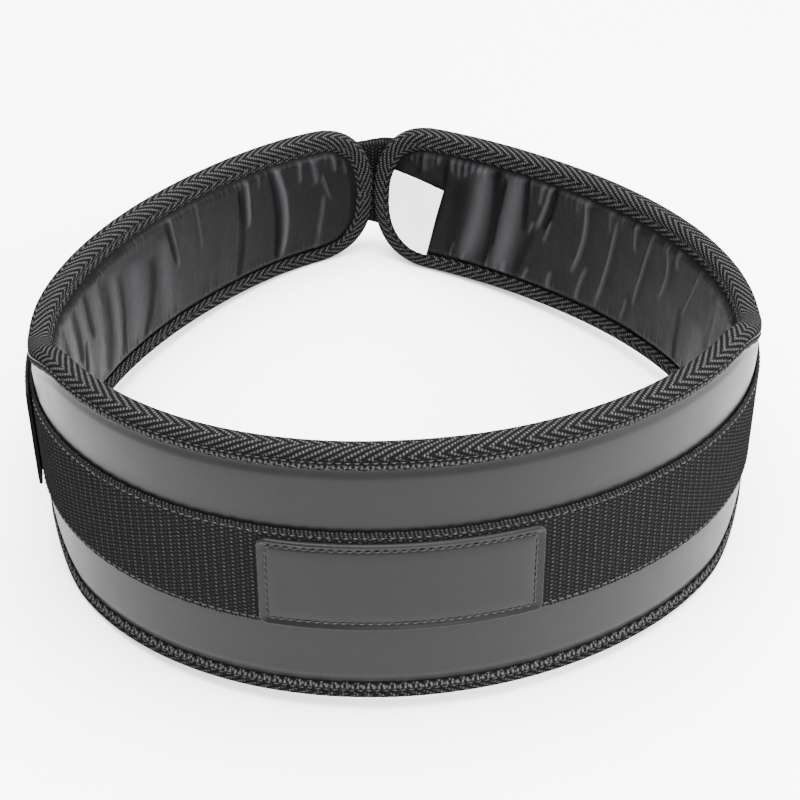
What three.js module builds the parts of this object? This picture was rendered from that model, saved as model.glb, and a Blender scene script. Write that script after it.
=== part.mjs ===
import * as THREE from 'three';

// A contoured weightlifting belt, fastened and standing on its lower edge.
// Millimetres, +Z up. The lumbar part faces -Y, the two round ends meet at +Y.

// Padded band
const PADDED_LENGTH = 982;
const LUMBAR_HEIGHT = 130;
const ARM_HEIGHT = 85.5;
const TIP_HEIGHT = 80;
const ROUND_END_LENGTH = 35;
const END_FULLNESS = 2.4;
const TAPER_START = 0.326;
const TAPER_END = 0.464;
const END_GAP = 0.6;
const EDGE_THICKNESS = 10;
const PAD_BULGE_OUT = 0.9;
const PAD_BULGE_IN = 1.5;
const PAD_RAMP = 4.5;

// Binding tape
const TAPE_THICKNESS = 1.2;
const TAPE_FOLD_RADIUS = 3.6;
const TAPE_OVERLAP_OUT = 9.2;
const TAPE_OVERLAP_IN = 9.7;
const SETTLE = 1;

// Lining
const LINING_THICKNESS = 1;
const LINING_EDGE_INSET = 4.5;
const PUCKER_DEPTH = 1.5;
const PUCKER_WIDTH = 8;

// Support webbing and patch
const WEBBING_WIDTH = 50;
const WEBBING_THICKNESS = 1.5;
const WEBBING_RISE = 0.7;
const PATCH_LENGTH = 115;
const PATCH_HEIGHT = 45;
const PATCH_THICKNESS = 1.2;
const PATCH_RIM_WIDTH = 2.4;
const PATCH_RIM_RISE = 0.6;
const PATCH_CORNER_RADIUS = 4;
const PATCH_SHIFT = -2.8;
const PATCH_DROP = 1.2;

// Care label
const LABEL_WIDTH = 41.5;
const LABEL_THICKNESS = 0.6;
const LABEL_REACH = 37;
const LABEL_DROP = 10;
const LABEL_TURN = 13;
const LABEL_TRIM_STEP = 0.5;
const LABEL_COLUMNS = 3;

// Closure strap, its loop and the loop's tab
const STRAP_WIDTH = 50;
const STRAP_THICKNESS = 1.6;
const STRAP_SEWN_LENGTH = 88;
const STRAP_RETURN_LENGTH = 292;
const STRAP_END_LIFT = 1;
const STRAP_TIP_MARGIN = 2;
const STRAP_LEAVE_LENGTH = 8;
const STRAP_STEP_DOWN = 22;
const LOOP_SETBACK = 26;
const LOOP_WINDOW = 12;
const LOOP_WIRE = 4;
const LOOP_CORNER_RADIUS = 4;
const LOOP_SIDE_CLEARANCE = 1.5;
const TAB_LENGTH = 60;
const TAB_SEWN_LENGTH = 24;

// Clearances and mesh steps
const SEWN_GAP = 0.3;
const LINING_GAP = 0.6;
const BAND_STEP = 15;
const END_STEPS = 6;
const PLAN_STEP = 1;
const SHORTEST_STEP = 1;
const TANGENT_REACH = 1;

// How sharply the band bends, relative to an even circle. at: share of half the padded length.
const BENDS = [
  { at: -1.0, bend: 1.61 },
  { at: -0.8, bend: 0.48 },
  { at: -0.6, bend: 0.75 },
  { at: -0.4, bend: 1.35 },
  { at: -0.2, bend: 1.08 },
  { at: 0.0, bend: 0.80 },
  { at: 0.2, bend: 0.83 },
  { at: 0.4, bend: 1.42 },
  { at: 0.6, bend: 0.96 },
  { at: 0.8, bend: 0.45 },
  { at: 1.0, bend: 0.75 },
];
const MIDDLE_HEADING = 3.2;

// How far the band's top leans outward, in degrees. at: share of half the padded length.
const LEANS = [
  { at: -1.0, lean: -5.8 },
  { at: -0.5, lean: 1.7 },
  { at: 0.0, lean: -0.4 },
  { at: 0.5, lean: 0.9 },
  { at: 1.0, lean: 2.5 },
];

// Upright puckers of the lining. at: share of half the padded length; width, depth: shares of
// PUCKER_WIDTH and PUCKER_DEPTH; foot, head: shares of the band's half height; slant: how far the
// head leans, as a share of PUCKER_WIDTH.
const PUCKERS = [
  { at: -0.965, width: 0.5, depth: 0.5, foot: 0.2, head: 0.8, slant: 0.2 },
  { at: -0.941, width: 0.6, depth: 0.7, foot: -0.7, head: 0.3, slant: 0.1 },
  { at: -0.892, width: 0.8, depth: 1.0, foot: -0.6, head: 0.8, slant: 0.3 },
  { at: -0.843, width: 0.9, depth: 1.0, foot: -0.5, head: 0.8, slant: 0.3 },
  { at: -0.790, width: 0.8, depth: 0.6, foot: -0.8, head: 0.5, slant: 0.6 },
  { at: -0.741, width: 0.8, depth: 0.8, foot: -0.8, head: 0.8, slant: 0.8 },
  { at: -0.690, width: 0.7, depth: 0.6, foot: -0.8, head: 0.6, slant: 0.8 },
  { at: -0.640, width: 0.8, depth: 0.8, foot: -0.8, head: 0.8, slant: 1.0 },
  { at: -0.585, width: 0.7, depth: 0.7, foot: -0.8, head: 0.6, slant: 1.0 },
  { at: -0.530, width: 0.8, depth: 0.8, foot: -0.8, head: 0.8, slant: 0.8 },
  { at: -0.460, width: 0.9, depth: 0.7, foot: -0.7, head: 0.8, slant: 0.4 },
  { at: -0.360, width: 1.0, depth: 0.7, foot: -0.8, head: 0.6, slant: 0.3 },
  { at: -0.250, width: 1.0, depth: 0.6, foot: -0.6, head: 0.8, slant: -0.3 },
  { at: -0.130, width: 1.0, depth: 0.7, foot: -0.8, head: 0.7, slant: 0.3 },
  { at: 0.020, width: 1.0, depth: 0.6, foot: -0.7, head: 0.8, slant: 0.2 },
  { at: 0.150, width: 1.0, depth: 0.7, foot: -0.8, head: 0.6, slant: -0.3 },
  { at: 0.270, width: 1.0, depth: 0.6, foot: -0.7, head: 0.8, slant: 0.3 },
  { at: 0.380, width: 0.9, depth: 0.7, foot: -0.8, head: 0.7, slant: -0.4 },
  { at: 0.480, width: 0.8, depth: 0.7, foot: -0.6, head: 0.8, slant: -0.4 },
  { at: 0.555, width: 0.8, depth: 0.8, foot: -0.7, head: 0.8, slant: -0.5 },
  { at: 0.618, width: 0.7, depth: 0.8, foot: -0.8, head: 0.8, slant: -0.5 },
  { at: 0.657, width: 0.7, depth: 0.9, foot: -0.7, head: 0.7, slant: -0.4 },
  { at: 0.710, width: 0.9, depth: 1.0, foot: -0.8, head: 0.8, slant: 0.6 },
  { at: 0.765, width: 1.1, depth: 0.9, foot: -0.8, head: 0.6, slant: -0.4 },
  { at: 0.815, width: 1.0, depth: 1.0, foot: -0.8, head: 0.8, slant: -0.5 },
  { at: 0.860, width: 0.8, depth: 0.9, foot: -0.6, head: 0.8, slant: -0.3 },
];

const UP = new THREE.Vector3(0, 0, 1);
const HALF_LENGTH = PADDED_LENGTH / 2;
const TAPE_FACE = EDGE_THICKNESS / 2;
const TAPE_CAVITY = TAPE_FACE - TAPE_THICKNESS;
const COVER_EDGE_OUT = TAPE_CAVITY - SEWN_GAP;
const LINING_EDGE_FACE = -(TAPE_CAVITY - SEWN_GAP);
const LINING_EDGE_BACK = LINING_EDGE_FACE + LINING_THICKNESS;
const COVER_EDGE_IN = LINING_EDGE_BACK + LINING_GAP;
const COVER_FACE = COVER_EDGE_OUT + PAD_BULGE_OUT;
const COVER_EDGE_INSET = TAPE_THICKNESS + SEWN_GAP;
const TAPE_LIP_INSET = Math.max(TAPE_OVERLAP_OUT, TAPE_OVERLAP_IN);
const RAMP_START_INSET = TAPE_LIP_INSET + SEWN_GAP;
const RAMP_END_INSET = RAMP_START_INSET + PAD_RAMP;
const FOLD_FLAT = TAPE_FACE - TAPE_FOLD_RADIUS;
const ARM_START = HALF_LENGTH * (TAPER_START + TAPER_END) / 2 + HALF_LENGTH / 10;
const WEBBING_BACK = COVER_FACE + SEWN_GAP;
const WEBBING_FACE = WEBBING_BACK + WEBBING_THICKNESS;

// A value read from a table of rows, straight between neighbours
function readTable(rows, column, at) {
  if (at <= rows[0].at) return rows[0][column];
  for (let i = 1; i < rows.length; i += 1) {
    const low = rows[i - 1];
    const high = rows[i];
    if (at <= high.at) {
      const share = (at - low.at) / (high.at - low.at);
      return low[column] + share * (high[column] - low[column]);
    }
  }
  return rows[rows.length - 1][column];
}

// The band's middle line seen from above, as points with headings, for a given closing factor.
// One half is walked at a time, from the middle of the lumbar part.
function walkHalf(side, closing) {
  const steps = Math.ceil(HALF_LENGTH / PLAN_STEP);
  const step = side * HALF_LENGTH / steps;
  const evenBend = closing * 2 * Math.PI / PADDED_LENGTH;
  let heading = THREE.MathUtils.degToRad(MIDDLE_HEADING);
  let x = 0;
  let y = 0;
  const points = [{ x, y, heading }];
  for (let i = 0; i < steps; i += 1) {
    const middle = side * (i + 0.5) / steps;
    const turn = step * evenBend * readTable(BENDS, 'bend', middle);
    x += step * Math.cos(heading + turn / 2);
    y += step * Math.sin(heading + turn / 2);
    heading += turn;
    points.push({ x, y, heading });
  }
  return points;
}

// Where a tip's narrow flat meets the fold on the wearer's side
function tipCorner(point) {
  return point.x - (TAPE_FACE - TAPE_FOLD_RADIUS) * Math.sin(point.heading);
}

// The closing factor that leaves END_GAP between the tips of the two ends
function closeBand() {
  let loose = 0.9;
  let tight = 1.1;
  for (let i = 0; i < 40; i += 1) {
    const closing = (loose + tight) / 2;
    const left = walkHalf(-1, closing).at(-1);
    const right = walkHalf(1, closing).at(-1);
    if (tipCorner(right) - tipCorner(left) > END_GAP) loose = closing;
    else tight = closing;
  }
  return (loose + tight) / 2;
}

const CLOSING = closeBand();
const PLAN = { left: walkHalf(-1, CLOSING), right: walkHalf(1, CLOSING) };

function planAt(s) {
  const side = s < 0 ? PLAN.left : PLAN.right;
  const place = Math.min(Math.abs(s) / HALF_LENGTH, 1) * (side.length - 1);
  const index = Math.min(Math.floor(place), side.length - 2);
  const share = place - index;
  const low = side[index];
  const high = side[index + 1];
  return {
    x: low.x + share * (high.x - low.x),
    y: low.y + share * (high.y - low.y),
    heading: low.heading + share * (high.heading - low.heading),
  };
}

// A point of the band: s along it from the lumbar middle, out from its middle layer, up across it
function bandPoint(s, out, up) {
  const plan = planAt(s);
  const lean = THREE.MathUtils.degToRad(readTable(LEANS, 'lean', s / HALF_LENGTH));
  const reach = out + Math.tan(lean) * up;
  return new THREE.Vector3(
    plan.x + reach * Math.sin(plan.heading),
    plan.y - reach * Math.cos(plan.heading),
    up,
  );
}

// Half the band's height before its ends are rounded
function halfHeight(s) {
  const along = Math.abs(s) / HALF_LENGTH;
  const taper = THREE.MathUtils.smoothstep(along, TAPER_START, TAPER_END);
  const arm = THREE.MathUtils.clamp((along - TAPER_END) / (1 - TAPER_END), 0, 1);
  const low = THREE.MathUtils.lerp(ARM_HEIGHT, TIP_HEIGHT, arm) / 2;
  return THREE.MathUtils.lerp(LUMBAR_HEIGHT / 2, low, taper);
}

// A point of the upper outline with its outward direction, in the plane of the unrolled band
function outlineAt(s) {
  const slope = halfHeight(s + 0.5) - halfHeight(s - 0.5);
  const size = Math.hypot(1, slope);
  return { s, up: halfHeight(s), normalS: -slope / size, normalUp: 1 / size };
}

function roundEnd(side, angle) {
  const start = HALF_LENGTH - ROUND_END_LENGTH;
  const tall = halfHeight(start);
  const reach = Math.sin(angle) ** (2 / END_FULLNESS);
  const rise = Math.cos(angle) ** (2 / END_FULLNESS);
  const normalS = reach ** (END_FULLNESS - 1) / ROUND_END_LENGTH;
  const normalUp = rise ** (END_FULLNESS - 1) / tall;
  const size = Math.hypot(normalS, normalUp);
  const closed = angle > Math.PI / 2 - 1e-9;
  return {
    s: side * (start + ROUND_END_LENGTH * reach),
    up: closed ? 0 : tall * rise,
    normalS: side * normalS / size,
    normalUp: closed ? 0 : normalUp / size,
  };
}

// The upper outline from the left end's tip to the right end's tip
function upperOutline(places) {
  const outline = [];
  for (let i = END_STEPS; i > 0; i -= 1) outline.push(roundEnd(-1, i * Math.PI / 2 / END_STEPS));
  for (const s of places) outline.push(outlineAt(s));
  for (let i = 1; i <= END_STEPS; i += 1) outline.push(roundEnd(1, i * Math.PI / 2 / END_STEPS));
  return outline;
}

function evenPlaces(from, to, step) {
  const count = Math.max(1, Math.round((to - from) / step));
  return Array.from({ length: count + 1 }, (_, i) => from + i * (to - from) / count);
}

const STRAIGHT_HALF = HALF_LENGTH - ROUND_END_LENGTH;
const BAND_PLACES = evenPlaces(-STRAIGHT_HALF, STRAIGHT_HALF, BAND_STEP);

// The plane that the lower edge stands on: it touches both sides of the lumbar part and one arm
function standingPlane() {
  const edge = BAND_PLACES.map((s) => ({ s, point: bandPoint(s, 0, -halfHeight(s)) }));
  const groups = [
    edge.filter(({ s }) => s <= 0 && s > -ARM_START),
    edge.filter(({ s }) => s >= 0 && s < ARM_START),
    edge.filter(({ s }) => Math.abs(s) > ARM_START),
  ];
  const plane = new THREE.Plane(UP.clone(), 0);
  for (let i = 0; i < 12; i += 1) {
    const lowest = groups.map((group) => group.reduce((best, entry) => (
      plane.distanceToPoint(entry.point) < plane.distanceToPoint(best.point) ? entry : best
    )).point);
    plane.setFromCoplanarPoints(lowest[0], lowest[1], lowest[2]);
    if (plane.normal.z < 0) plane.negate();
  }
  return plane;
}

const STANDING = standingPlane();
const STANDING_TURN = new THREE.Quaternion().setFromUnitVectors(STANDING.normal, UP);

// Sets a point of the band down on the surface. The soft edge settles until it is pressed flat
// there: no point of it goes below the given height.
function stand(point, lowest = -Infinity) {
  const placed = point.clone().applyQuaternion(STANDING_TURN);
  placed.z = Math.max(placed.z + STANDING.constant - SETTLE, lowest);
  return placed;
}

// A closed mesh from points and triangles, turned so that its faces point outwards
function closedGeometry(points, triangles) {
  let volume = 0;
  for (const [a, b, c] of triangles) {
    volume += points[a].dot(new THREE.Vector3().crossVectors(points[b], points[c]));
  }
  const index = triangles.flatMap(([a, b, c]) => (volume > 0 ? [a, b, c] : [a, c, b]));
  const geometry = new THREE.BufferGeometry().setFromPoints(points);
  geometry.setIndex(index);
  geometry.computeVertexNormals();
  return geometry;
}

// A closed loop of sections: sections[i][j] joins sections[i + 1][j], and the last meets the first
function ringGeometry(sections) {
  const across = sections[0].length;
  const points = sections.flat();
  const triangles = [];
  for (let i = 0; i < sections.length; i += 1) {
    const next = (i + 1) % sections.length;
    for (let j = 0; j < across; j += 1) {
      const beside = (j + 1) % across;
      const [a, b] = [i * across + j, next * across + j];
      const [c, d] = [next * across + beside, i * across + beside];
      triangles.push([a, b, c], [a, c, d]);
    }
  }
  return closedGeometry(points, triangles);
}

// A run of closed sections with flat ends
function runGeometry(sections) {
  const across = sections[0].length;
  const points = sections.flat();
  const triangles = [];
  for (let i = 0; i + 1 < sections.length; i += 1) {
    for (let j = 0; j < across; j += 1) {
      const beside = (j + 1) % across;
      const [a, b] = [i * across + j, (i + 1) * across + j];
      const [c, d] = [(i + 1) * across + beside, i * across + beside];
      triangles.push([a, b, c], [a, c, d]);
    }
  }
  const rows = across / 2;
  const last = (sections.length - 1) * across;
  for (let j = 0; j + 1 < rows; j += 1) {
    const [a, b, c, d] = [j, j + 1, across - 2 - j, across - 1 - j];
    triangles.push([a, b, c], [a, c, d]);
    triangles.push([last + a, last + c, last + b], [last + a, last + d, last + c]);
  }
  return closedGeometry(points, triangles);
}

// A sheet with two faces over the whole band. Each station crosses the band from its upper edge
// to its lower edge; at the tips the upper and lower halves meet in one line.
function bandSheetGeometry(outline, insets, middles, face, back) {
  const points = [];
  const stations = outline.map((edge) => {
    const column = [];
    insets.forEach((inset) => column.push({
      s: edge.s - edge.normalS * inset,
      up: edge.up - edge.normalUp * inset,
      inset,
    }));
    const last = column.at(-1);
    middles.forEach((share) => column.push({ s: last.s, up: last.up * share, inset: last.inset }));
    const lower = column.slice(0, insets.length).reverse();
    lower.forEach(({ s, up, inset }) => column.push({ s, up: -up, inset }));
    return column;
  });
  const rows = stations[0].length;
  const tip = (i) => i === 0 || i === stations.length - 1;
  const number = (layer, i, j) => {
    const folded = tip(i) && j >= rows / 2 ? rows - 1 - j : j;
    return lookup[layer][i][folded];
  };
  const lookup = [face, back].map((offset) => stations.map((column, i) => column.map((place, j) => {
    if (tip(i) && j > (rows - 1) / 2) return -1;
    points.push(stand(bandPoint(place.s, offset(place), place.up), insets[0]));
    return points.length - 1;
  })));
  const triangles = [];
  const quad = (a, b, c, d) => {
    if (a !== b && b !== c && a !== c) triangles.push([a, b, c]);
    if (a !== c && c !== d && a !== d) triangles.push([a, c, d]);
  };
  for (let i = 0; i + 1 < stations.length; i += 1) {
    for (let j = 0; j + 1 < rows; j += 1) {
      quad(number(0, i, j), number(0, i, j + 1), number(0, i + 1, j + 1), number(0, i + 1, j));
      quad(number(1, i, j), number(1, i + 1, j), number(1, i + 1, j + 1), number(1, i, j + 1));
    }
    quad(number(0, i, 0), number(0, i + 1, 0), number(1, i + 1, 0), number(1, i, 0));
    const foot = rows - 1;
    quad(number(0, i, foot), number(1, i, foot), number(1, i + 1, foot), number(0, i + 1, foot));
  }
  return closedGeometry(points, triangles);
}

// The bulge of the padding between the taped edges, from none to all of it
function bulge(inset) {
  return THREE.MathUtils.clamp((inset - RAMP_START_INSET) / PAD_RAMP, 0, 1);
}

function makeMesh(name, geometry, color, roughness, metalness) {
  const mesh = new THREE.Mesh(
    geometry,
    new THREE.MeshStandardMaterial({ color, roughness, metalness }),
  );
  mesh.name = name;
  return mesh;
}

// Foam padding with its leatherette face
function paddedCover() {
  const noseLength = TAPE_FOLD_RADIUS - COVER_EDGE_INSET;
  const nose = (inset) => THREE.MathUtils.clamp((inset - COVER_EDGE_INSET) / noseLength, 0, 1);
  const face = ({ inset }) => (
    THREE.MathUtils.lerp(FOLD_FLAT, COVER_EDGE_OUT, nose(inset)) + PAD_BULGE_OUT * bulge(inset)
  );
  const back = ({ inset }) => (
    COVER_EDGE_IN + noseLength * (1 - nose(inset)) - PAD_BULGE_IN * bulge(inset)
  );
  const insets = [COVER_EDGE_INSET, TAPE_FOLD_RADIUS, RAMP_START_INSET, RAMP_END_INSET];
  const geometry = bandSheetGeometry(upperOutline(BAND_PLACES), insets, [0], face, back);
  return makeMesh('padded_cover', geometry, 0x4c4a4b, 0.62, 0);
}

// How far one pucker stands off the lining at a place
function puckerAt(pucker, s, up) {
  const share = up / halfHeight(s);
  const middle = (pucker.foot + pucker.head) / 2;
  const reach = (pucker.head - pucker.foot) / 2;
  const upright = Math.max(0, 1 - ((share - middle) / reach) ** 2);
  const centre = pucker.at * HALF_LENGTH + pucker.slant * PUCKER_WIDTH * (share - middle);
  const sideways = Math.max(0, 1 - Math.abs(s - centre) / (pucker.width * PUCKER_WIDTH));
  return PUCKER_DEPTH * pucker.depth * upright * sideways;
}

// The lining's own stations: one on each pucker and one at each of its feet, filled in between
function liningPlaces() {
  const wanted = PUCKERS.flatMap(({ at, width }) => [-1, 0, 1].map((side) => (
    at * HALF_LENGTH + side * width * PUCKER_WIDTH
  )));
  const inside = wanted.filter((s) => Math.abs(s) < STRAIGHT_HALF - SHORTEST_STEP).sort((a, b) => a - b);
  const stops = [-STRAIGHT_HALF, ...inside, STRAIGHT_HALF];
  const places = [stops[0]];
  for (const stop of stops.slice(1)) {
    const last = places.at(-1);
    if (stop - last < SHORTEST_STEP && stop < STRAIGHT_HALF) continue;
    const fill = Math.ceil((stop - last) / BAND_STEP);
    for (let i = 1; i <= fill; i += 1) places.push(last + i * (stop - last) / fill);
  }
  return places;
}

function lining() {
  const back = ({ inset }) => LINING_EDGE_BACK - PAD_BULGE_IN * bulge(inset);
  const face = (place) => {
    const free = bulge(place.inset);
    const puckers = PUCKERS.reduce((sum, pucker) => (
      Math.max(sum, puckerAt(pucker, place.s, place.up))
    ), 0);
    return back(place) - LINING_THICKNESS - free * puckers;
  };
  const insets = [LINING_EDGE_INSET, RAMP_START_INSET, RAMP_END_INSET];
  const outline = upperOutline(liningPlaces());
  const geometry = bandSheetGeometry(outline, insets, [0.35, -0.35], back, face);
  return makeMesh('lining', geometry, 0x1b1b1e, 0.42, 0);
}

// Tape folded over the whole edge, as one closed channel
function edgeBinding() {
  const bend = TAPE_FOLD_RADIUS * (1 - Math.SQRT1_2);
  const section = [
    { out: TAPE_FACE, inset: TAPE_OVERLAP_OUT },
    { out: TAPE_FACE, inset: TAPE_FOLD_RADIUS },
    { out: TAPE_FACE - bend, inset: bend },
    { out: FOLD_FLAT, inset: 0 },
    { out: -FOLD_FLAT, inset: 0 },
    { out: bend - TAPE_FACE, inset: bend },
    { out: -TAPE_FACE, inset: TAPE_FOLD_RADIUS },
    { out: -TAPE_FACE, inset: TAPE_OVERLAP_IN },
    { out: -TAPE_CAVITY, inset: TAPE_OVERLAP_IN },
    { out: -TAPE_CAVITY, inset: TAPE_FOLD_RADIUS },
    { out: -FOLD_FLAT, inset: TAPE_THICKNESS },
    { out: FOLD_FLAT, inset: TAPE_THICKNESS },
    { out: TAPE_CAVITY, inset: TAPE_FOLD_RADIUS },
    { out: TAPE_CAVITY, inset: TAPE_OVERLAP_OUT },
  ];
  const upper = upperOutline(BAND_PLACES);
  const lower = upper.slice(1, -1).reverse().map((edge) => ({
    ...edge, up: -edge.up, normalUp: -edge.normalUp,
  }));
  const outerPoints = 8;
  const sections = [...upper, ...lower].map((edge) => section.map(({ out, inset }, i) => stand(
    bandPoint(edge.s - edge.normalS * inset, out, edge.up - edge.normalUp * inset),
    i < outerPoints ? 0 : TAPE_THICKNESS,
  )));
  return makeMesh('edge_binding', ringGeometry(sections), 0x141415, 0.7, 0);
}

// The furthest along the band that a piece of a given half width stays inside the tape
function reachInsideTape(halfWidth) {
  const share = Math.min(1, halfWidth / (halfHeight(STRAIGHT_HALF) - RAMP_START_INSET));
  return STRAIGHT_HALF + (ROUND_END_LENGTH - RAMP_START_INSET)
    * (1 - share ** END_FULLNESS) ** (1 / END_FULLNESS);
}

function supportWebbing() {
  const half = WEBBING_WIDTH / 2;
  const reach = reachInsideTape(half + Math.abs(WEBBING_RISE));
  const sections = evenPlaces(-reach, reach, BAND_STEP).map((s) => [
    [WEBBING_FACE, half],
    [WEBBING_FACE, -half],
    [WEBBING_BACK, -half],
    [WEBBING_BACK, half],
  ].map(([out, up]) => stand(bandPoint(s, out, up + WEBBING_RISE))));
  return makeMesh('support_webbing', runGeometry(sections), 0x161617, 0.75, 0);
}

// Rectangular patch with a rolled rim, its corners rounded
function frontPatch() {
  const halfLong = PATCH_LENGTH / 2;
  const halfTall = PATCH_HEIGHT / 2;
  const radius = PATCH_CORNER_RADIUS;
  const corner = [1, 0.7, 0.35].map((share) => ({
    along: halfLong - radius + radius * share,
    tall: halfTall - radius + radius * Math.sqrt(1 - share * share),
  }));
  const inner = evenPlaces(-(halfLong - radius), halfLong - radius, BAND_STEP);
  const columns = [
    ...corner.map(({ along, tall }) => ({ along: -along, tall })),
    ...inner.map((along) => ({ along, tall: halfTall })),
    ...[...corner].reverse(),
  ];
  const back = WEBBING_FACE + SEWN_GAP;
  const flat = back + PATCH_THICKNESS;
  const sections = columns.map(({ along, tall }) => {
    const toEnd = halfLong - Math.abs(along);
    const low = tall - PATCH_RIM_WIDTH;
    const rows = [tall, tall - PATCH_RIM_WIDTH / 2, low, -low, PATCH_RIM_WIDTH / 2 - tall, -tall];
    const face = rows.map((up) => {
      const toEdge = Math.min(toEnd, tall - Math.abs(up));
      const rim = Math.max(0, 1 - Math.abs(toEdge / (PATCH_RIM_WIDTH / 2) - 1));
      return [flat + PATCH_RIM_RISE * rim, up];
    });
    const behind = [...rows].reverse().map((up) => [back, up]);
    return [...face, ...behind].map(([out, up]) => (
      stand(bandPoint(PATCH_SHIFT + along, out, up - PATCH_DROP))
    ));
  });
  return makeMesh('front_patch', runGeometry(sections), 0x3c3a3b, 0.6, 0);
}

// Folded label on the lining inside the right end, its outer side along the tape
function careLabel() {
  const turn = THREE.MathUtils.degToRad(LABEL_TURN);
  const along = { s: Math.cos(turn), up: Math.sin(turn) };
  const upright = { s: -Math.sin(turn), up: Math.cos(turn) };
  const freeS = HALF_LENGTH - LABEL_REACH;
  const insideTape = (s, up) => (
    (Math.max(0, s - STRAIGHT_HALF) / (ROUND_END_LENGTH - RAMP_START_INSET)) ** END_FULLNESS
    + (Math.abs(up) / (halfHeight(STRAIGHT_HALF) - RAMP_START_INSET)) ** END_FULLNESS
  ) <= 1;
  const back = LINING_EDGE_FACE - PAD_BULGE_IN - SEWN_GAP;
  const front = back - LABEL_THICKNESS;
  const rows = evenPlaces(-LABEL_WIDTH / 2, LABEL_WIDTH / 2, LABEL_WIDTH / 4).map((across) => {
    const start = { s: freeS + upright.s * across, up: upright.up * across - LABEL_DROP };
    const place = (reach) => ({ s: start.s + along.s * reach, up: start.up + along.up * reach });
    let reach = 0;
    while (insideTape(place(reach).s, place(reach).up)) reach += LABEL_TRIM_STEP;
    return evenPlaces(0, 1, 1 / LABEL_COLUMNS).map((share) => place(share * (reach - LABEL_TRIM_STEP)));
  });
  const columns = rows[0].map((_, i) => [
    ...rows.map((row) => stand(bandPoint(row[i].s, front, row[i].up))),
    ...[...rows].reverse().map((row) => stand(bandPoint(row[i].s, back, row[i].up))),
  ]);
  return makeMesh('care_label', runGeometry(columns), 0xe9eaee, 0.6, 0);
}

// A place on a strap's middle line with the direction across the strap
function onBand(s, out) {
  const base = bandPoint(s, out, 0);
  return { base, across: bandPoint(s, out, TANGENT_REACH).sub(base).normalize() };
}

// The flat frame of the wire loop behind the right end: along, outward and across
const LOOP_BAR_REACH = (LOOP_WINDOW + LOOP_WIRE) / 2;
const LOOP_MIDDLE = HALF_LENGTH - LOOP_SETBACK - LOOP_BAR_REACH;
const STRAP_UNDER = WEBBING_FACE + SEWN_GAP + STRAP_THICKNESS / 2;
const STRAP_OVER = STRAP_UNDER + STRAP_THICKNESS + SEWN_GAP;
const TURN_RADIUS = LOOP_WIRE / 2 + SEWN_GAP + STRAP_THICKNESS / 2;
const LOOP_OUT = STRAP_UNDER + TURN_RADIUS;

function loopFrame() {
  const origin = bandPoint(LOOP_MIDDLE, 0, 0);
  const ahead = bandPoint(LOOP_MIDDLE + TANGENT_REACH, 0, 0);
  const behind = bandPoint(LOOP_MIDDLE - TANGENT_REACH, 0, 0);
  const along = ahead.sub(behind).normalize();
  const across = bandPoint(LOOP_MIDDLE, 0, TANGENT_REACH).sub(origin).normalize();
  const out = new THREE.Vector3().crossVectors(along, across).normalize();
  return { origin, along, across, out };
}

const LOOP = loopFrame();

function onLoop(along, out) {
  const base = LOOP.origin.clone();
  base.addScaledVector(LOOP.along, along).addScaledVector(LOOP.out, out);
  return { base, across: LOOP.across };
}

// Half a turn of strap round one bar of the loop. side: +1 for the bar nearer the belt's end.
function turnRoundBar(side) {
  return [-90, -54, -18, 18, 54, 90].map((degrees) => {
    const angle = THREE.MathUtils.degToRad(degrees);
    return onLoop(
      side * (LOOP_BAR_REACH - TURN_RADIUS * Math.cos(angle)),
      LOOP_OUT + TURN_RADIUS * Math.sin(angle),
    );
  });
}

// A flat strap along a line of places
function strapGeometry(places) {
  const sections = places.map(({ base, across }, i) => {
    const before = places[Math.max(0, i - 1)].base;
    const after = places[Math.min(places.length - 1, i + 1)].base;
    const along = after.clone().sub(before).normalize();
    const out = new THREE.Vector3().crossVectors(along, across).normalize();
    const corner = (layer, edge) => stand(base.clone()
      .addScaledVector(out, layer * STRAP_THICKNESS / 2)
      .addScaledVector(across, edge * STRAP_WIDTH / 2 + WEBBING_RISE));
    return [corner(1, 1), corner(1, -1), corner(-1, -1), corner(-1, 1)];
  });
  return runGeometry(sections);
}

// Strap from the left end, round the loop's near bar and back over the left side
function closureStrap() {
  const nearTip = HALF_LENGTH - STRAP_TIP_MARGIN;
  const leave = nearTip - STRAP_LEAVE_LENGTH;
  const sewnEnd = HALF_LENGTH - STRAP_SEWN_LENGTH;
  const settled = sewnEnd - STRAP_STEP_DOWN;
  const freeEnd = HALF_LENGTH - STRAP_RETURN_LENGTH;
  const barFace = LOOP_BAR_REACH + TURN_RADIUS;
  const over = LOOP_OUT + TURN_RADIUS;
  const bridge = (share) => THREE.MathUtils.lerp(over, STRAP_OVER, share);
  const stepDown = evenPlaces(-sewnEnd, -settled, STRAP_STEP_DOWN / 3).map((s) => {
    const share = THREE.MathUtils.smoothstep(s, -sewnEnd, -settled);
    return onBand(s, THREE.MathUtils.lerp(STRAP_OVER, STRAP_UNDER, share));
  });
  const places = [
    ...evenPlaces(sewnEnd, nearTip, BAND_STEP).map((s) => onBand(-s, STRAP_UNDER)),
    onBand(nearTip, STRAP_UNDER),
    onBand(leave, STRAP_UNDER),
    onLoop(barFace, STRAP_UNDER),
    ...turnRoundBar(1),
    onLoop(barFace, over),
    onBand(leave, bridge(0.25)),
    onBand(nearTip, bridge(0.5)),
    onBand(-nearTip, bridge(0.75)),
    ...evenPlaces(-leave, -sewnEnd, BAND_STEP).slice(0, -1).map((s) => onBand(s, STRAP_OVER)),
    ...stepDown,
    ...evenPlaces(-settled, -freeEnd, BAND_STEP).slice(1, -1).map((s) => onBand(s, STRAP_UNDER)),
    onBand(-freeEnd, STRAP_UNDER + STRAP_END_LIFT),
  ];
  return makeMesh('closure_strap', strapGeometry(places), 0x151516, 0.78, 0);
}

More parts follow.
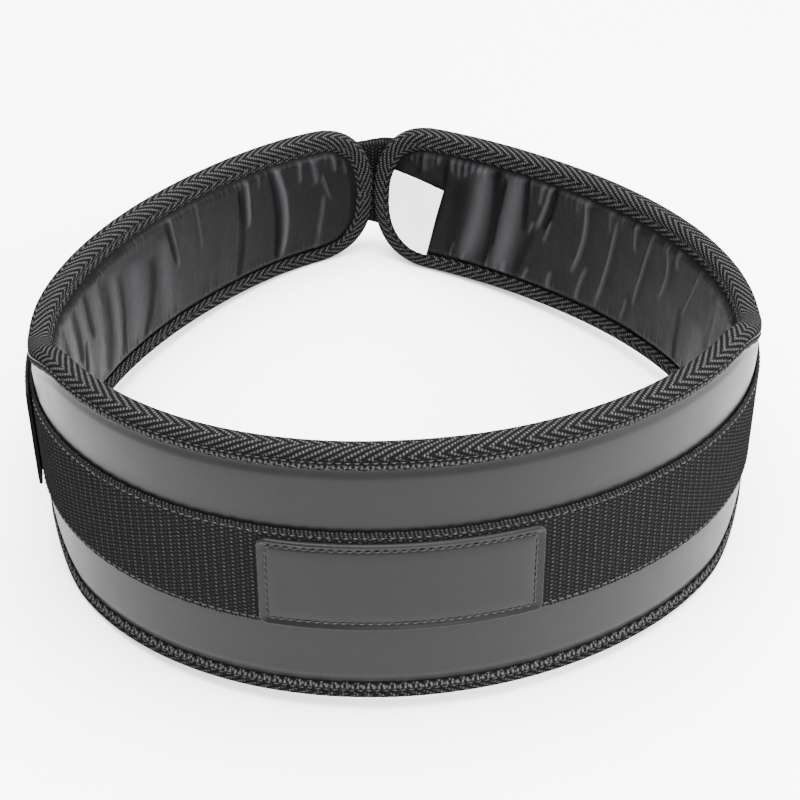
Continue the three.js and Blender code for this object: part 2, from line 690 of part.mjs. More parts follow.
// Short strap sewn on the right side, round the loop's far bar
function loopTab() {
  const freeEnd = LOOP_MIDDLE - LOOP_BAR_REACH - TAB_LENGTH;
  const rise = freeEnd + TAB_SEWN_LENGTH;
  const leave = LOOP_MIDDLE - LOOP_BAR_REACH - TURN_RADIUS - STRAP_LEAVE_LENGTH;
  const barFace = -(LOOP_BAR_REACH + TURN_RADIUS);
  const over = LOOP_OUT + TURN_RADIUS;
  const places = [
    ...evenPlaces(freeEnd, leave, BAND_STEP).map((s) => onBand(s, STRAP_UNDER)),
    onLoop(barFace, STRAP_UNDER),
    ...turnRoundBar(-1),
    onLoop(barFace, over),
    onBand((rise + leave) / 2, THREE.MathUtils.lerp(STRAP_OVER, over, 0.5)),
    ...evenPlaces(rise, freeEnd, BAND_STEP).map((s) => onBand(s, STRAP_OVER)),
  ];
  return makeMesh('loop_tab', strapGeometry(places), 0x151516, 0.78, 0);
}

// Round wire bent into a rectangle
function strapLoop() {
  const halfAlong = LOOP_BAR_REACH;
  const halfAcross = STRAP_WIDTH / 2 + LOOP_SIDE_CLEARANCE + LOOP_WIRE / 2;
  const radius = LOOP_CORNER_RADIUS;
  const path = [];
  for (const [sideAlong, sideAcross, start] of [[1, 1, 0], [-1, 1, 90], [-1, -1, 180], [1, -1, 270]]) {
    for (const degrees of [0, 30, 60, 90]) {
      const angle = THREE.MathUtils.degToRad(start + degrees);
      path.push({
        along: sideAlong * (halfAlong - radius) + radius * Math.cos(angle),
        across: sideAcross * (halfAcross - radius) + radius * Math.sin(angle),
        angle,
      });
    }
  }
  const sides = 10;
  const sections = path.map(({ along, across, angle }) => Array.from({ length: sides }, (_, j) => {
    const round = j * 2 * Math.PI / sides;
    const inPlane = Math.cos(round) * LOOP_WIRE / 2;
    const outward = Math.sin(round) * LOOP_WIRE / 2;
    const { base } = onLoop(along + inPlane * Math.cos(angle), LOOP_OUT + outward);
    base.addScaledVector(LOOP.across, across + inPlane * Math.sin(angle) + WEBBING_RISE);
    return stand(base);
  }));
  return makeMesh('strap_loop', ringGeometry(sections), 0x1d1d1f, 0.35, 0.6);
}

const belt = new THREE.Group();
belt.name = 'weightlifting_belt';
belt.add(
  paddedCover(),
  lining(),
  edgeBinding(),
  supportWebbing(),
  frontPatch(),
  careLabel(),
  closureStrap(),
  loopTab(),
  strapLoop(),
);

// The origin lies under the middle of the belt, on the surface that it stands on
const extent = new THREE.Box3().setFromObject(belt);
const middle = extent.getCenter(new THREE.Vector3());
belt.position.set(-middle.x, -middle.y, 0);

export default belt;
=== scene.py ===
"""A padded weightlifting belt, fastened in a loop and standing on its lower edge.

The belt is one long band. A place on it is given by s, the distance along it from the middle of the
lumbar part, by out, the distance outwards from its middle layer, and by up, the distance across it.
Sizes are in millimetres until a mesh is made.
"""

import math

import bmesh
import bpy
import numpy as np
from bpy.props import FloatProperty, FloatVectorProperty, PointerProperty
from mathutils import Matrix, Vector


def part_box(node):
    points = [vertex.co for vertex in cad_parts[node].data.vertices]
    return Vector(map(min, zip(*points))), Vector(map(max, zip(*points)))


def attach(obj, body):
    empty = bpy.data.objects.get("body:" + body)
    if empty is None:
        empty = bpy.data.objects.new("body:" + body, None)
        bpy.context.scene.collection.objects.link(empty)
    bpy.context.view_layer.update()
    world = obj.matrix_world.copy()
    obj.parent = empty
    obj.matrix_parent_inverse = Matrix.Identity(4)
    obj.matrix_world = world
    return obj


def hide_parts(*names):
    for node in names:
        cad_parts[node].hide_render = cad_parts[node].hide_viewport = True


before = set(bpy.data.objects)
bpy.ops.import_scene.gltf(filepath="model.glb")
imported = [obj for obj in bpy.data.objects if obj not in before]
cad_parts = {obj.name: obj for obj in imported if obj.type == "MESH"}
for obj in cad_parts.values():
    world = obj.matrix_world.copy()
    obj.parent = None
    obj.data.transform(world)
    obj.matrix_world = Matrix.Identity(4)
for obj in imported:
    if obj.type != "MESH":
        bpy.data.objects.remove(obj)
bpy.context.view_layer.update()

bl_info = {
    "name": "Weightlifting Belt",
    "version": (1, 0, 0),
    "blender": (4, 5, 0),
    "location": "3D View > Sidebar > Belt",
    "description": "Builds a padded weightlifting belt with tape, webbing, patch, lining and closure",
    "category": "Add Mesh",
}

MM = 0.001
BODY = "root"
CLOTH_UV = "cloth"
# The lining's fold relief, kept on its mesh to place the satin's painted highlights and painted shade.
RELIEF_MARK = "relief"

# Padded band
PADDED_LENGTH = 982
LUMBAR_HEIGHT = 130
ARM_HEIGHT = 85.5
TIP_HEIGHT = 80
ROUND_END_LENGTH = 35
END_FULLNESS = 2.4
TAPER_START = 0.326
TAPER_END = 0.464
END_GAP = 0.6
EDGE_THICKNESS = 10
PAD_BULGE_OUT = 0.9
PAD_BULGE_IN = 1.5
PAD_RAMP = 4.5
SEAM_DIP = 0.15
SEAM_DIP_WIDTH = 1.2
PAD_WAVES = 0.06
MIDDLE_HEADING = 3.2

# Binding tape
TAPE_THICKNESS = 1.2
TAPE_FOLD_RADIUS = 3.6
TAPE_OVERLAP_OUT = 9.2
TAPE_OVERLAP_IN = 9.7
TAPE_SEAM_INSET = 5.6
SEAM_WIDTH = 0.8
LIP_PRESS = 0.7
LIP_WAVER = 0.15
LIP_SCALLOP = 0.3
TAPE_PUFF = 0.25
HERRINGBONE_ROW = 7
HERRINGBONE_START = 6.3
HERRINGBONE_WANDER = 3.8
HERRINGBONE_SLOPE = 0.5
LIP_ROW_MIDDLE = 1.6
SETTLE = 1

# Part of a sine that stands up as a round bead of yarn
BEAD_RANGE = (-0.3, 0.8)

# Lining
LINING_THICKNESS = 1
LINING_EDGE_INSET = 4.5

# Support webbing and patch
WEBBING_WIDTH = 50
WEBBING_THICKNESS = 1.5
WEBBING_RISE = 0.7
WEBBING_SEAM = 2.2
WEBBING_SEAM_DEPTH = 0.35
STRAP_SEAM_DEPTH = 0.3
STRAP_RIB_SHARE = 0.6
EDGE_RAGGEDNESS = 0.18
SELVAGE_WIDTH = 2.5
PATCH_LENGTH = 115
PATCH_HEIGHT = 45
PATCH_THICKNESS = 1.2
PATCH_RIM_WIDTH = 2.4
PATCH_SEAM = 3.7
PATCH_CORNER_RADIUS = 4
PATCH_SHIFT = -2.8
PATCH_DROP = 1.2
PATCH_EDGE = 0.15
PATCH_GROOVE = 0.4
PATCH_SWELL = 0.25

# Care label
LABEL_WIDTH = 41.5
LABEL_THICKNESS = 0.6
LABEL_REACH = 37
LABEL_DROP = 10
LABEL_TURN = 13
LABEL_HELD_LENGTH = 22
LABEL_LIFT = 0.9
LABEL_CURL = 0.5
LABEL_CREASE = 0.3

# Closure strap, its loop and the loop's tab
STRAP_WIDTH = 50
STRAP_THICKNESS = 1.6
STRAP_SEWN_LENGTH = 88
STRAP_RETURN_LENGTH = 292
STRAP_END_LIFT = 1
STRAP_TIP_MARGIN = 2
STRAP_LEAVE_LENGTH = 8
STRAP_STEP_DOWN = 22
LOOP_SETBACK = 26
LOOP_WINDOW = 12
LOOP_WIRE = 4
LOOP_CORNER_RADIUS = 4
LOOP_SIDE_CLEARANCE = 1.5
TAB_LENGTH = 60
TAB_SEWN_LENGTH = 24

# Stitches: how deep they lie in the webbing and in the patch, and their length and spread
STITCH_DEPTH = 0.1
PATCH_STITCH_DEPTH = 0.3
STITCH_SHARE = 0.4
END_MARGIN = 3

# Clearances, and steps from one place to the next
SEWN_GAP = 0.3
LINING_GAP = 0.6
PLAN_STEP = 1
SOLID_STEP = 15
COVER_STEP = 2.5
COVER_END_STEPS = 14
LINING_STEP = 0.75
LINING_END_STEPS = 30
TAPE_STEP = 1.6
TAPE_END_STEPS = 18
SEAM_STEP = 2
RIB_STEPS = 8
STRAP_RIB_STEPS = 4
WIRE_SIDES = 16
CORNER_STEPS = 8

# How sharply the band bends, relative to an even circle, at even shares of its length
BENDS = np.array([1.61, 0.48, 0.75, 1.35, 1.08, 0.80, 0.83, 1.42, 0.96, 0.45, 0.75])
BEND_AT = np.linspace(-1, 1, len(BENDS))

# How far the band's top leans outward, in degrees, at even shares of its length
LEANS = np.array([-5.8, 1.7, -0.4, 0.9, 2.5])
LEAN_AT = np.linspace(-1, 1, len(LEANS))

# Folds of the lining, as top_s, middle_s, foot_s, top, foot, width and rise. Each runs through a place
# at its top, its middle and its foot, given along the band. Top and foot are heights over the band's
# middle, and width is half the fold's width, all in millimetres. Rise is a share of the fold height,
# below zero for a crease.
FOLDS = np.array([
    (-472.0, -473.0, -474.0, 28, 16, 1.2, 0.8),
    (-466.0, -466.6, -467.5, 31, 18, 1.2, 0.9),
    (-459.0, -462.0, -465.5, 19, 1, 1.0, 0.8),
    (-461.0, -459.0, -455.5, 6, -30, 1.3, 0.8),
    (-451.5, -454.5, -455.5, 32, 12, 1.5, 0.9),
    (-445.0, -445.5, -446.0, 32, 16, 1.3, 0.8),
    (-428.0, -436.5, -433.0, 33, -28, 2.2, 1.4),
    (-426.0, -432.0, -430.5, 30, -29, 1.2, -1.2),
    (-418.5, -419.0, -419.5, 32, 21, 1.0, 0.6),
    (-409.5, -411.5, -412.0, 31, 0, 1.8, 1.2),
    (-405.0, -406.0, -407.0, 32, 24, 1.0, 0.6),
    (-406.0, -408.0, -404.0, 28, -29, 1.4, -1.2),
    (-374.5, -377.0, -379.0, 32, 2, 1.0, 0.6),
    (-354.5, -358.0, -361.0, 31, -1, 1.2, 0.9),
    (-352.5, -356.0, -359.0, 29, 3, 1.0, -0.7),
    (-349.0, -350.0, -349.0, 24, -28, 6.0, 0.5),
    (-340.0, -339.0, -330.0, 16, -29, 2.0, -0.9),
    (-325.0, -326.0, -320.0, 22, -28, 8.0, 0.5),
    (-312.0, -314.0, -311.0, 21, -28, 1.4, -0.6),
    (-305.0, -307.0, -305.0, 26, -28, 4.0, 0.6),
    (-295.0, -299.0, -295.0, 29, -29, 2.6, -0.9),
    (-287.0, -289.0, -286.0, 30, -28, 5.0, 0.6),
    (-277.0, -280.0, -283.0, 31, 0, 1.4, -1.0),
    (-271.0, -273.0, -276.0, 30, -20, 4.0, 0.6),
    (-273.0, -272.0, -271.0, 5, -14, 1.2, -0.8),
    (-261.5, -265.5, -267.0, 30, -5, 1.8, -1.2),
    (-254.0, -256.0, -258.0, 31, 0, 5.0, 0.8),
    (-243.5, -247.0, -250.0, 31, 7, 1.8, -1.2),
    (-231.0, -233.0, -236.0, 31, -10, 8.0, 0.8),
    (-212.0, -214.0, -211.0, 34, -30, 1.6, -0.9),
    (-180.0, -176.0, -178.0, 36, -20, 1.5, 0.8),
    (-140.0, -143.0, -138.0, 44, -30, 2.0, -0.8),
    (-102.0, -98.0, -101.0, 47, -36, 1.6, 0.9),
    (-61.0, -64.0, -60.0, 40, -44, 3.0, 0.6),
    (-24.0, -20.0, -23.0, 48, -20, 1.5, 0.9),
    (14.0, 11.0, 16.0, 40, -44, 1.6, -0.8),
    (52.0, 56.0, 53.0, 48, -30, 1.6, 0.9),
    (93.0, 90.0, 95.0, 40, -42, 3.0, 0.6),
    (131.0, 135.0, 133.0, 46, -26, 1.5, 0.9),
    (172.0, 169.0, 174.0, 38, -34, 1.6, -0.8),
    (205.0, 209.0, 207.0, 34, -24, 1.5, 0.9),
    (232.0, 235.0, 238.0, 32, -20, 3.0, 0.6),
    (250.0, 256.0, 260.0, 33, -5, 4.0, 0.5),
    (257.0, 260.0, 262.0, 21, -6, 2.0, -0.7),
    (272.0, 273.0, 275.0, 6, -29, 8.0, 0.5),
    (273.0, 281.0, 288.0, 33, -3, 1.2, 0.7),
    (290.0, 290.5, 291.0, 4, -29, 1.2, -0.8),
    (295.0, 295.3, 296.0, 32, 21, 1.5, 0.8),
    (305.5, 302.5, 308.0, 32, -2, 1.5, 1.0),
    (315.5, 321.0, 326.0, 31, -15, 1.3, 1.0),
    (328.5, 328.3, 328.0, 33, 16, 1.3, 1.0),
    (330.0, 331.5, 333.5, -11, -26, 1.2, 0.7),
    (341.5, 345.5, 352.5, 29, -28, 1.4, 1.1),
    (346.5, 346.3, 346.0, 32, 18, 1.1, 0.7),
    (363.0, 362.5, 369.5, 33, -14, 1.5, 1.2),
    (367.6, 367.7, 367.8, 31, 22, 1.0, 0.6),
    (359.0, 363.0, 365.0, -6, -29, 1.4, 0.9),
    (381.5, 383.0, 382.5, -17, -30, 1.4, 1.0),
    (381.5, 384.0, 388.0, 34, 5, 1.3, -1.4),
    (384.5, 387.5, 392.5, 33, 4, 1.7, 1.2),
    (389.0, 390.5, 391.5, 32, 18, 1.4, 0.9),
    (383.5, 385.5, 387.5, 12, -2, 1.2, 0.9),
    (395.0, 396.0, 397.0, 8, -1, 1.0, 0.8),
    (394.0, 400.5, 405.0, 3, -30, 1.5, -1.6),
    (396.5, 398.0, 400.0, -20, -29, 1.2, 0.9),
    (400.0, 400.0, 400.5, 34, 0, 1.2, -1.3),
    (405.5, 409.0, 416.0, 33, -30, 6.0, 1.1),
    (410.0, 411.5, 412.0, -19, -29, 2.0, 1.3),
    (420.0, 421.5, 423.0, -12, -29, 1.3, 1.2),
    (414.0, 416.0, 418.0, 27, 4, 2.0, -1.1),
    (418.5, 418.5, 425.0, 34, -30, 1.6, -1.6),
    (425.5, 428.5, 436.0, 33, -29, 5.5, 1.1),
    (440.0, 442.5, 446.0, 22, -30, 4.5, -0.6),
    (434.5, 436.0, 437.0, -20, -29, 1.2, 1.2),
    (442.0, 443.5, 445.0, -17, -28, 1.2, 0.9),
    (448.5, 449.0, 449.5, 34, 12, 1.2, -1.2),
    (464.0, 464.5, 465.0, 30, 16, 1.2, -0.8),
])

# Gathers beside the label, where the cloth is pleated most
PLEAT_START = 423
PLEAT_END = 476
PLEAT_PITCH = 4
PLEAT_LENGTH = 11

HALF_LENGTH = PADDED_LENGTH / 2
STRAIGHT_HALF = HALF_LENGTH - ROUND_END_LENGTH
ARM_START = HALF_LENGTH * (TAPER_START + TAPER_END) / 2 + HALF_LENGTH / 10
TAPE_FACE = EDGE_THICKNESS / 2
TAPE_CAVITY = TAPE_FACE - TAPE_THICKNESS
FOLD_FLAT = TAPE_FACE - TAPE_FOLD_RADIUS
COVER_EDGE_OUT = TAPE_CAVITY - SEWN_GAP
LINING_EDGE_FACE = -(TAPE_CAVITY - SEWN_GAP)
LINING_EDGE_BACK = LINING_EDGE_FACE + LINING_THICKNESS
COVER_EDGE_IN = LINING_EDGE_BACK + LINING_GAP
COVER_FACE = COVER_EDGE_OUT + PAD_BULGE_OUT
COVER_EDGE_INSET = TAPE_THICKNESS + SEWN_GAP
RAMP_START_INSET = max(TAPE_OVERLAP_OUT, TAPE_OVERLAP_IN) + SEWN_GAP
RAMP_END_INSET = RAMP_START_INSET + PAD_RAMP
WEBBING_BACK = COVER_FACE + SEWN_GAP
WEBBING_FACE = WEBBING_BACK + WEBBING_THICKNESS
STRAP_UNDER = WEBBING_FACE + SEWN_GAP + STRAP_THICKNESS / 2
STRAP_OVER = STRAP_UNDER + STRAP_THICKNESS + SEWN_GAP
TURN_RADIUS = LOOP_WIRE / 2 + SEWN_GAP + STRAP_THICKNESS / 2
LOOP_OUT = STRAP_UNDER + TURN_RADIUS
LOOP_BAR_REACH = (LOOP_WINDOW + LOOP_WIRE) / 2
LOOP_MIDDLE = HALF_LENGTH - LOOP_SETBACK - LOOP_BAR_REACH


# The band's course


def walk_half(side, closing):
    """One half of the band's middle line seen from above: each step turns by its share of a full
    circle times the bend there."""
    steps = math.ceil(HALF_LENGTH / PLAN_STEP)
    step = side * HALF_LENGTH / steps
    middles = side * (np.arange(steps) + 0.5) / steps
    turns = step * closing * math.tau / PADDED_LENGTH * np.interp(middles, BEND_AT, BENDS)
    headings = math.radians(MIDDLE_HEADING) + np.concatenate([[0], np.cumsum(turns)])
    between = headings[:-1] + turns / 2
    x = np.concatenate([[0], np.cumsum(step * np.cos(between))])
    y = np.concatenate([[0], np.cumsum(step * np.sin(between))])
    return x, y, headings


def tip_corner(half):
    """Where a tip's narrow flat meets the fold on the wearer's side."""
    x, _, headings = half
    return x[-1] - FOLD_FLAT * math.sin(headings[-1])


def close_band():
    """The closing factor that leaves END_GAP between the tips of the two ends."""
    loose, tight = 0.9, 1.1
    for _ in range(40):
        closing = (loose + tight) / 2
        gap = tip_corner(walk_half(1, closing)) - tip_corner(walk_half(-1, closing))
        loose, tight = (closing, tight) if gap > END_GAP else (loose, closing)
    return (loose + tight) / 2


CLOSING = close_band()
LEFT_HALF = walk_half(-1, CLOSING)
RIGHT_HALF = walk_half(1, CLOSING)
PLAN_S = np.linspace(-HALF_LENGTH, HALF_LENGTH, 2 * len(LEFT_HALF[0]) - 1)
PLAN = [np.concatenate([left[:0:-1], right]) for left, right in zip(LEFT_HALF, RIGHT_HALF)]


def band_point(s, out, up):
    """The middle line's place at s, moved outwards by out and by the lean's tangent times up."""
    s, out, up = np.broadcast_arrays(s, out, up)
    x, y, heading = (np.interp(s, PLAN_S, values) for values in PLAN)
    lean = np.radians(np.interp(s / HALF_LENGTH, LEAN_AT, LEANS))
    reach = out + np.tan(lean) * up
    return np.stack([x + reach * np.sin(heading), y - reach * np.cos(heading), up], -1)


def smoothstep(value, low, high):
    """Zero below low, one above high, and three times its square less twice its cube between."""
    share = np.clip((value - low) / (high - low), 0, 1)
    return share * share * (3 - 2 * share)


def bell(value, width):
    """One at zero, falling off on both sides as the exponential of minus the square."""
    return np.exp(-((value / width) ** 2))


def half_height(s):
    """Half the lumbar height, eased down to half the arm's height, which narrows to the tip's."""
    along = np.abs(s) / HALF_LENGTH
    arm = np.clip((along - TAPER_END) / (1 - TAPER_END), 0, 1)
    low = (ARM_HEIGHT + (TIP_HEIGHT - ARM_HEIGHT) * arm) / 2
    return LUMBAR_HEIGHT / 2 + (low - LUMBAR_HEIGHT / 2) * smoothstep(along, TAPER_START, TAPER_END)


def even_places(start, end, step):
    return np.linspace(start, end, max(1, round(abs(end - start) / step)) + 1)


def standing_plane():
    """The plane under both sides of the lumbar part and one arm: the plane through the lowest point
    of each, taken again until it settles."""
    s = even_places(-STRAIGHT_HALF, STRAIGHT_HALF, SOLID_STEP)
    edge = band_point(s, 0, -half_height(s))
    groups = [(s <= 0) & (s > -ARM_START), (s >= 0) & (s < ARM_START), np.abs(s) > ARM_START]
    normal, constant = np.array([0.0, 0.0, 1.0]), 0.0
    for _ in range(12):
        height = edge @ normal + constant
        first, second, third = (edge[group][np.argmin(height[group])] for group in groups)
        normal = np.cross(third - second, first - second)
        normal /= np.linalg.norm(normal) * (1 if normal[2] > 0 else -1)
        constant = -first @ normal
    return normal, constant


def turn_upright(normal):
    """The shortest turn that brings a direction upright."""
    axis = np.cross(normal, [0, 0, 1])
    cross = np.array([[0, -axis[2], axis[1]], [axis[2], 0, -axis[0]], [-axis[1], axis[0], 0]])
    return np.eye(3) + cross + cross @ cross / (1 + normal[2])


STANDING_NORMAL, STANDING_CONSTANT = standing_plane()
STANDING_TURN = turn_upright(STANDING_NORMAL)


def stand(points, lowest=-np.inf):
    """Sets points of the band down on the surface, where the soft edge is pressed flat."""
    placed = points @ STANDING_TURN.T
    placed[..., 2] = np.maximum(placed[..., 2] + STANDING_CONSTANT - SETTLE, lowest)
    return placed


def on_floor(s, out, up, lowest=-np.inf):
    """A place of the band, set down."""
    return stand(band_point(s, out, up), lowest)


def reach_inside_tape(half_width):
    """How far along the band a piece of that half width stays inside the tape: the full ellipse of
    the tape's lip, solved for s."""
    share = min(1, half_width / (half_height(STRAIGHT_HALF) - RAMP_START_INSET))
    rest = (1 - share**END_FULLNESS) ** (1 / END_FULLNESS)
    return STRAIGHT_HALF + (ROUND_END_LENGTH - RAMP_START_INSET) * rest


WEBBING_REACH = reach_inside_tape(WEBBING_WIDTH / 2 + abs(WEBBING_RISE))


def frame_shift():
    """Where the belt stands in the frame: the solid webbing's lowest corner, less the same corner
    worked out here."""
    s = even_places(-WEBBING_REACH, WEBBING_REACH, SOLID_STEP)[:, None, None]
    out = np.array([WEBBING_BACK, WEBBING_FACE])[:, None]
    up = np.array([-1, 1]) * WEBBING_WIDTH / 2 + WEBBING_RISE
    corner = on_floor(s, out, up).reshape(-1, 3).min(0)
    shift = np.array(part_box("support_webbing")[0]) / MM - corner
    return shift * [1, 1, 0]


FRAME_SHIFT = frame_shift()


# Outlines and layers of the unrolled band


def round_end(side, angles):
    """A quarter of a full ellipse, whose sine and cosine are raised to 2 / END_FULLNESS, from the
    straight edge at angle 0 to the tip at a right angle."""
    tall = half_height(STRAIGHT_HALF)
    reach = np.sin(angles) ** (2 / END_FULLNESS)
    rise = np.maximum(np.cos(angles), 0) ** (2 / END_FULLNESS)
    power = END_FULLNESS - 1
    normal = np.stack([reach**power / ROUND_END_LENGTH, rise**power / tall], -1)
    normal /= np.linalg.norm(normal, axis=-1, keepdims=True)
    s = STRAIGHT_HALF + ROUND_END_LENGTH * reach
    return np.stack([side * s, tall * rise, side * normal[:, 0], normal[:, 1]], -1)


def upper_outline(step, end_steps):
    """The upper edge from tip to tip, as rows of s, up and the outward direction."""
    angles = np.arange(1, end_steps + 1) * math.pi / 2 / end_steps
    s = even_places(-STRAIGHT_HALF, STRAIGHT_HALF, step)
    slope = half_height(s + 0.5) - half_height(s - 0.5)
    size = np.hypot(1, slope)
    straight = np.stack([s, half_height(s), -slope / size, 1 / size], -1)
    return np.concatenate([round_end(-1, angles[::-1]), straight, round_end(1, angles)])


def full_outline(step, end_steps):
    """The whole edge once round: the upper outline, then its mirror image run back."""
    upper = upper_outline(step, end_steps)
    lower = upper[-2:0:-1] * [1, -1, 1, -1]
    return np.concatenate([upper, lower])


def layer_grid(outline, insets, rows):
    """Columns from the upper edge to the lower edge: first square to the edge down to the last
    inset, then straight across. Returns s, up and the inset of each place."""
    s, up, normal_s, normal_up = outline.T[:, :, None]
    edge_s, edge_up = s - normal_s * insets, up - normal_up * insets
    shares = np.linspace(1, -1, rows + 2)[1:-1]
    s = np.concatenate([edge_s, edge_s[:, -1:] + 0 * shares, edge_s[:, ::-1]], 1)
    up = np.concatenate([edge_up, edge_up[:, -1:] * shares, -edge_up[:, ::-1]], 1)
    inset = np.concatenate([insets, insets[-1] + 0 * shares, insets[::-1]])
    return s, up, np.broadcast_to(inset, s.shape)


def bulge(inset):
    """How much of the padding's bulge shows at a distance from the edge."""
    return smoothstep(inset, RAMP_START_INSET - SEWN_GAP, RAMP_END_INSET)


# Meshes


class Shape:
    """Points, faces and cloth coordinates gathered for one mesh."""

    def __init__(self):
        self.points = []
        self.faces = []
        self.cloth = []
        self.count = 0

    def add(self, points, faces, cloth):
        self.points.append(points.reshape(-1, 3))
        self.faces.append(faces + self.count)
        self.cloth.append(cloth)
        self.count += self.points[-1].shape[0]

    def grid(self, points, u, v, loop_rows=False, loop_columns=False):
        """Quads between neighbouring rows and columns. A looped side joins its last line to its
        first. u and v are given for each line, and once more after the last of a looped side."""
        rows, columns = points.shape[:2]
        i, j = np.meshgrid(
            np.arange(rows - (not loop_rows)), np.arange(columns - (not loop_columns)), indexing="ij"
        )
        corners = [(i, j), (i + 1, j), (i + 1, j + 1), (i, j + 1)]
        faces = np.stack([(a % rows) * columns + b % columns for a, b in corners], -1)
        wide_u, wide_v = np.broadcast_arrays(u, v)
        cloth = np.stack([np.stack([wide_u[a, b], wide_v[a, b]], -1) for a, b in corners], -2)
        self.add(points, faces.reshape(-1, 4), cloth.reshape(-1, 4, 2))

    def close_ends(self, rows, columns):
        """One flat face over the first row of the only grid, and one over its last."""
        section = np.arange(columns)
        for face in (section, (section + (rows - 1) * columns)[::-1]):
            self.faces.append(face[None])
            self.cloth.append(np.zeros((1, columns, 2)))

    def turned_outwards(self):
        """The faces as they are, or turned round if the volume that they close is negative: the sum
        of each fan of triangles' triple products."""
        points = np.concatenate(self.points)
        volume = 0.0
        for faces in self.faces:
            first = points[faces[:, 0]]
            for k in range(1, faces.shape[1] - 1):
                cross = np.cross(points[faces[:, k]], points[faces[:, k + 1]])
                volume += (first * cross).sum()
        if volume > 0:
            return self.faces, self.cloth
        return [faces[:, ::-1] for faces in self.faces], [cloth[:, ::-1] for cloth in self.cloth]

    def mesh(self, name, merge=False, relief=None):
        points = (np.concatenate(self.points) + FRAME_SHIFT) * MM
        faces, cloth = self.turned_outwards()
        corners = np.concatenate([part.ravel() for part in faces])
        totals = np.concatenate([np.full(len(part), part.shape[1]) for part in faces])
        starts = np.concatenate([[0], np.cumsum(totals)[:-1]])
        mesh = bpy.data.meshes.new(name)
        mesh.vertices.add(len(points))
        mesh.loops.add(len(corners))
        mesh.polygons.add(len(totals))
        mesh.vertices.foreach_set("co", points.astype(np.float32).ravel())
        mesh.loops.foreach_set("vertex_index", corners.astype(np.int32))
        mesh.polygons.foreach_set("loop_start", starts.astype(np.int32))
        mesh.update(calc_edges=True)
        uv = mesh.uv_layers.new(name=CLOTH_UV)
        uv.data.foreach_set("uv", np.concatenate([c.reshape(-1, 2) for c in cloth]).ravel())
        if relief is not None:
            marks = mesh.attributes.new(RELIEF_MARK, "FLOAT", "POINT")
            marks.data.foreach_set("value", relief.ravel().astype(np.float32))
        if merge:
            merge_doubles(mesh)
        mesh.shade_smooth()
        mesh.set_sharp_from_angle(angle=math.radians(50))
        return mesh


def merge_doubles(mesh):
    work = bmesh.new()
    work.from_mesh(mesh)
    bmesh.ops.remove_doubles(work, verts=work.verts, dist=1e-6)
    work.to_mesh(mesh)
    work.free()


def add_piece(name, mesh, material):
    """Puts a finished mesh into the scene, riding on the belt."""
    piece = bpy.data.objects.new(name, mesh)
    bpy.context.scene.collection.objects.link(piece)
    mesh.materials.append(material)
    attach(piece, BODY)
    return piece


# Materials


class Finish:
    """A material being made. Each helper adds one node and gives back its output."""

    def __init__(self, name, color, roughness, **settings):
        self.material = bpy.data.materials.new(name)
        self.material.use_nodes = True
        self.tree = self.material.node_tree
        self.shader = self.tree.nodes["Principled BSDF"]
        self.set("Base Color", (*color, 1))
        self.set("Roughness", roughness)
        for socket, value in settings.items():
            self.set(socket.replace("_", " "), value)

    def set(self, socket, value):
        self.feed(value, self.shader.inputs[socket])

    def feed(self, value, socket):
        if isinstance(value, bpy.types.NodeSocket):
            self.tree.links.new(value, socket)
        else:
            socket.default_value = value

    def node(self, kind, **settings):
        node = self.tree.nodes.new(kind)
        for name, value in settings.items():
            setattr(node, name, value)
        return node

    def math(self, operation, *values):
        node = self.node("ShaderNodeMath", operation=operation)
        for value, socket in zip(values, node.inputs):
            self.feed(value, socket)
        return node.outputs[0]

    def plus(self, first, second):
        return self.math("ADD", first, second)

    def less(self, first, second):
        return self.math("SUBTRACT", first, second)

    def times(self, first, second):
        return self.math("MULTIPLY", first, second)

    def sine(self, angle):
        return self.math("SINE", angle)

    def wave(self, value, length):
        """A sine of that wavelength."""
        return self.sine(self.times(value, math.tau / length))

    def cloth(self):
        """Along and across the cloth, in millimetres."""
        uv = self.node("ShaderNodeUVMap", uv_map=CLOTH_UV)
        split = self.node("ShaderNodeSeparateXYZ")
        self.feed(uv.outputs["UV"], split.inputs[0])
        return uv.outputs["UV"], split.outputs["X"], split.outputs["Y"]

    def place(self):
        return self.node("ShaderNodeTexCoord").outputs["Object"]

    def noise(self, vector, scale, detail=2.0, stretch=(1, 1, 1)):
        mapping = self.node("ShaderNodeMapping")
        mapping.inputs["Scale"].default_value = stretch
        self.feed(vector, mapping.inputs["Vector"])
        node = self.node("ShaderNodeTexNoise")
        node.inputs["Scale"].default_value = scale
        node.inputs["Detail"].default_value = detail
        self.feed(mapping.outputs[0], node.inputs["Vector"])
        return node.outputs["Fac"]

    def cells(self, vector, scale):
        node = self.node("ShaderNodeTexVoronoi", feature="SMOOTH_F1")
        node.inputs["Scale"].default_value = scale
        self.feed(vector, node.inputs["Vector"])
        return node.outputs["Distance"]

    def spread(self, value, low, high, to_low=0.0, to_high=1.0):
        """A value between low and high, moved to another range and kept inside it."""
        node = self.node("ShaderNodeMapRange")
        sockets = ("From Min", "From Max", "To Min", "To Max")
        for socket, number in zip(sockets, (low, high, to_low, to_high)):
            node.inputs[socket].default_value = number
        self.feed(value, node.inputs["Value"])
        return node.outputs["Result"]

    def blend(self, share, low, high):
        node = self.node("ShaderNodeMix", data_type="RGBA")
        for socket, value in zip((0, 6, 7), (share, low, high)):
            self.feed((*value, 1) if isinstance(value, tuple) else value, node.inputs[socket])
        return node.outputs[2]

    def bump(self, height, distance, strength=1.0):
        """Raises the surface by a height given in millimetres."""
        node = self.node("ShaderNodeBump")
        node.inputs["Strength"].default_value = strength
        node.inputs["Distance"].default_value = distance * MM
        self.feed(height, node.inputs["Height"])
        self.set("Normal", node.outputs["Normal"])


def tint(color, factor):
    return tuple(min(1.0, channel * factor) for channel in color)


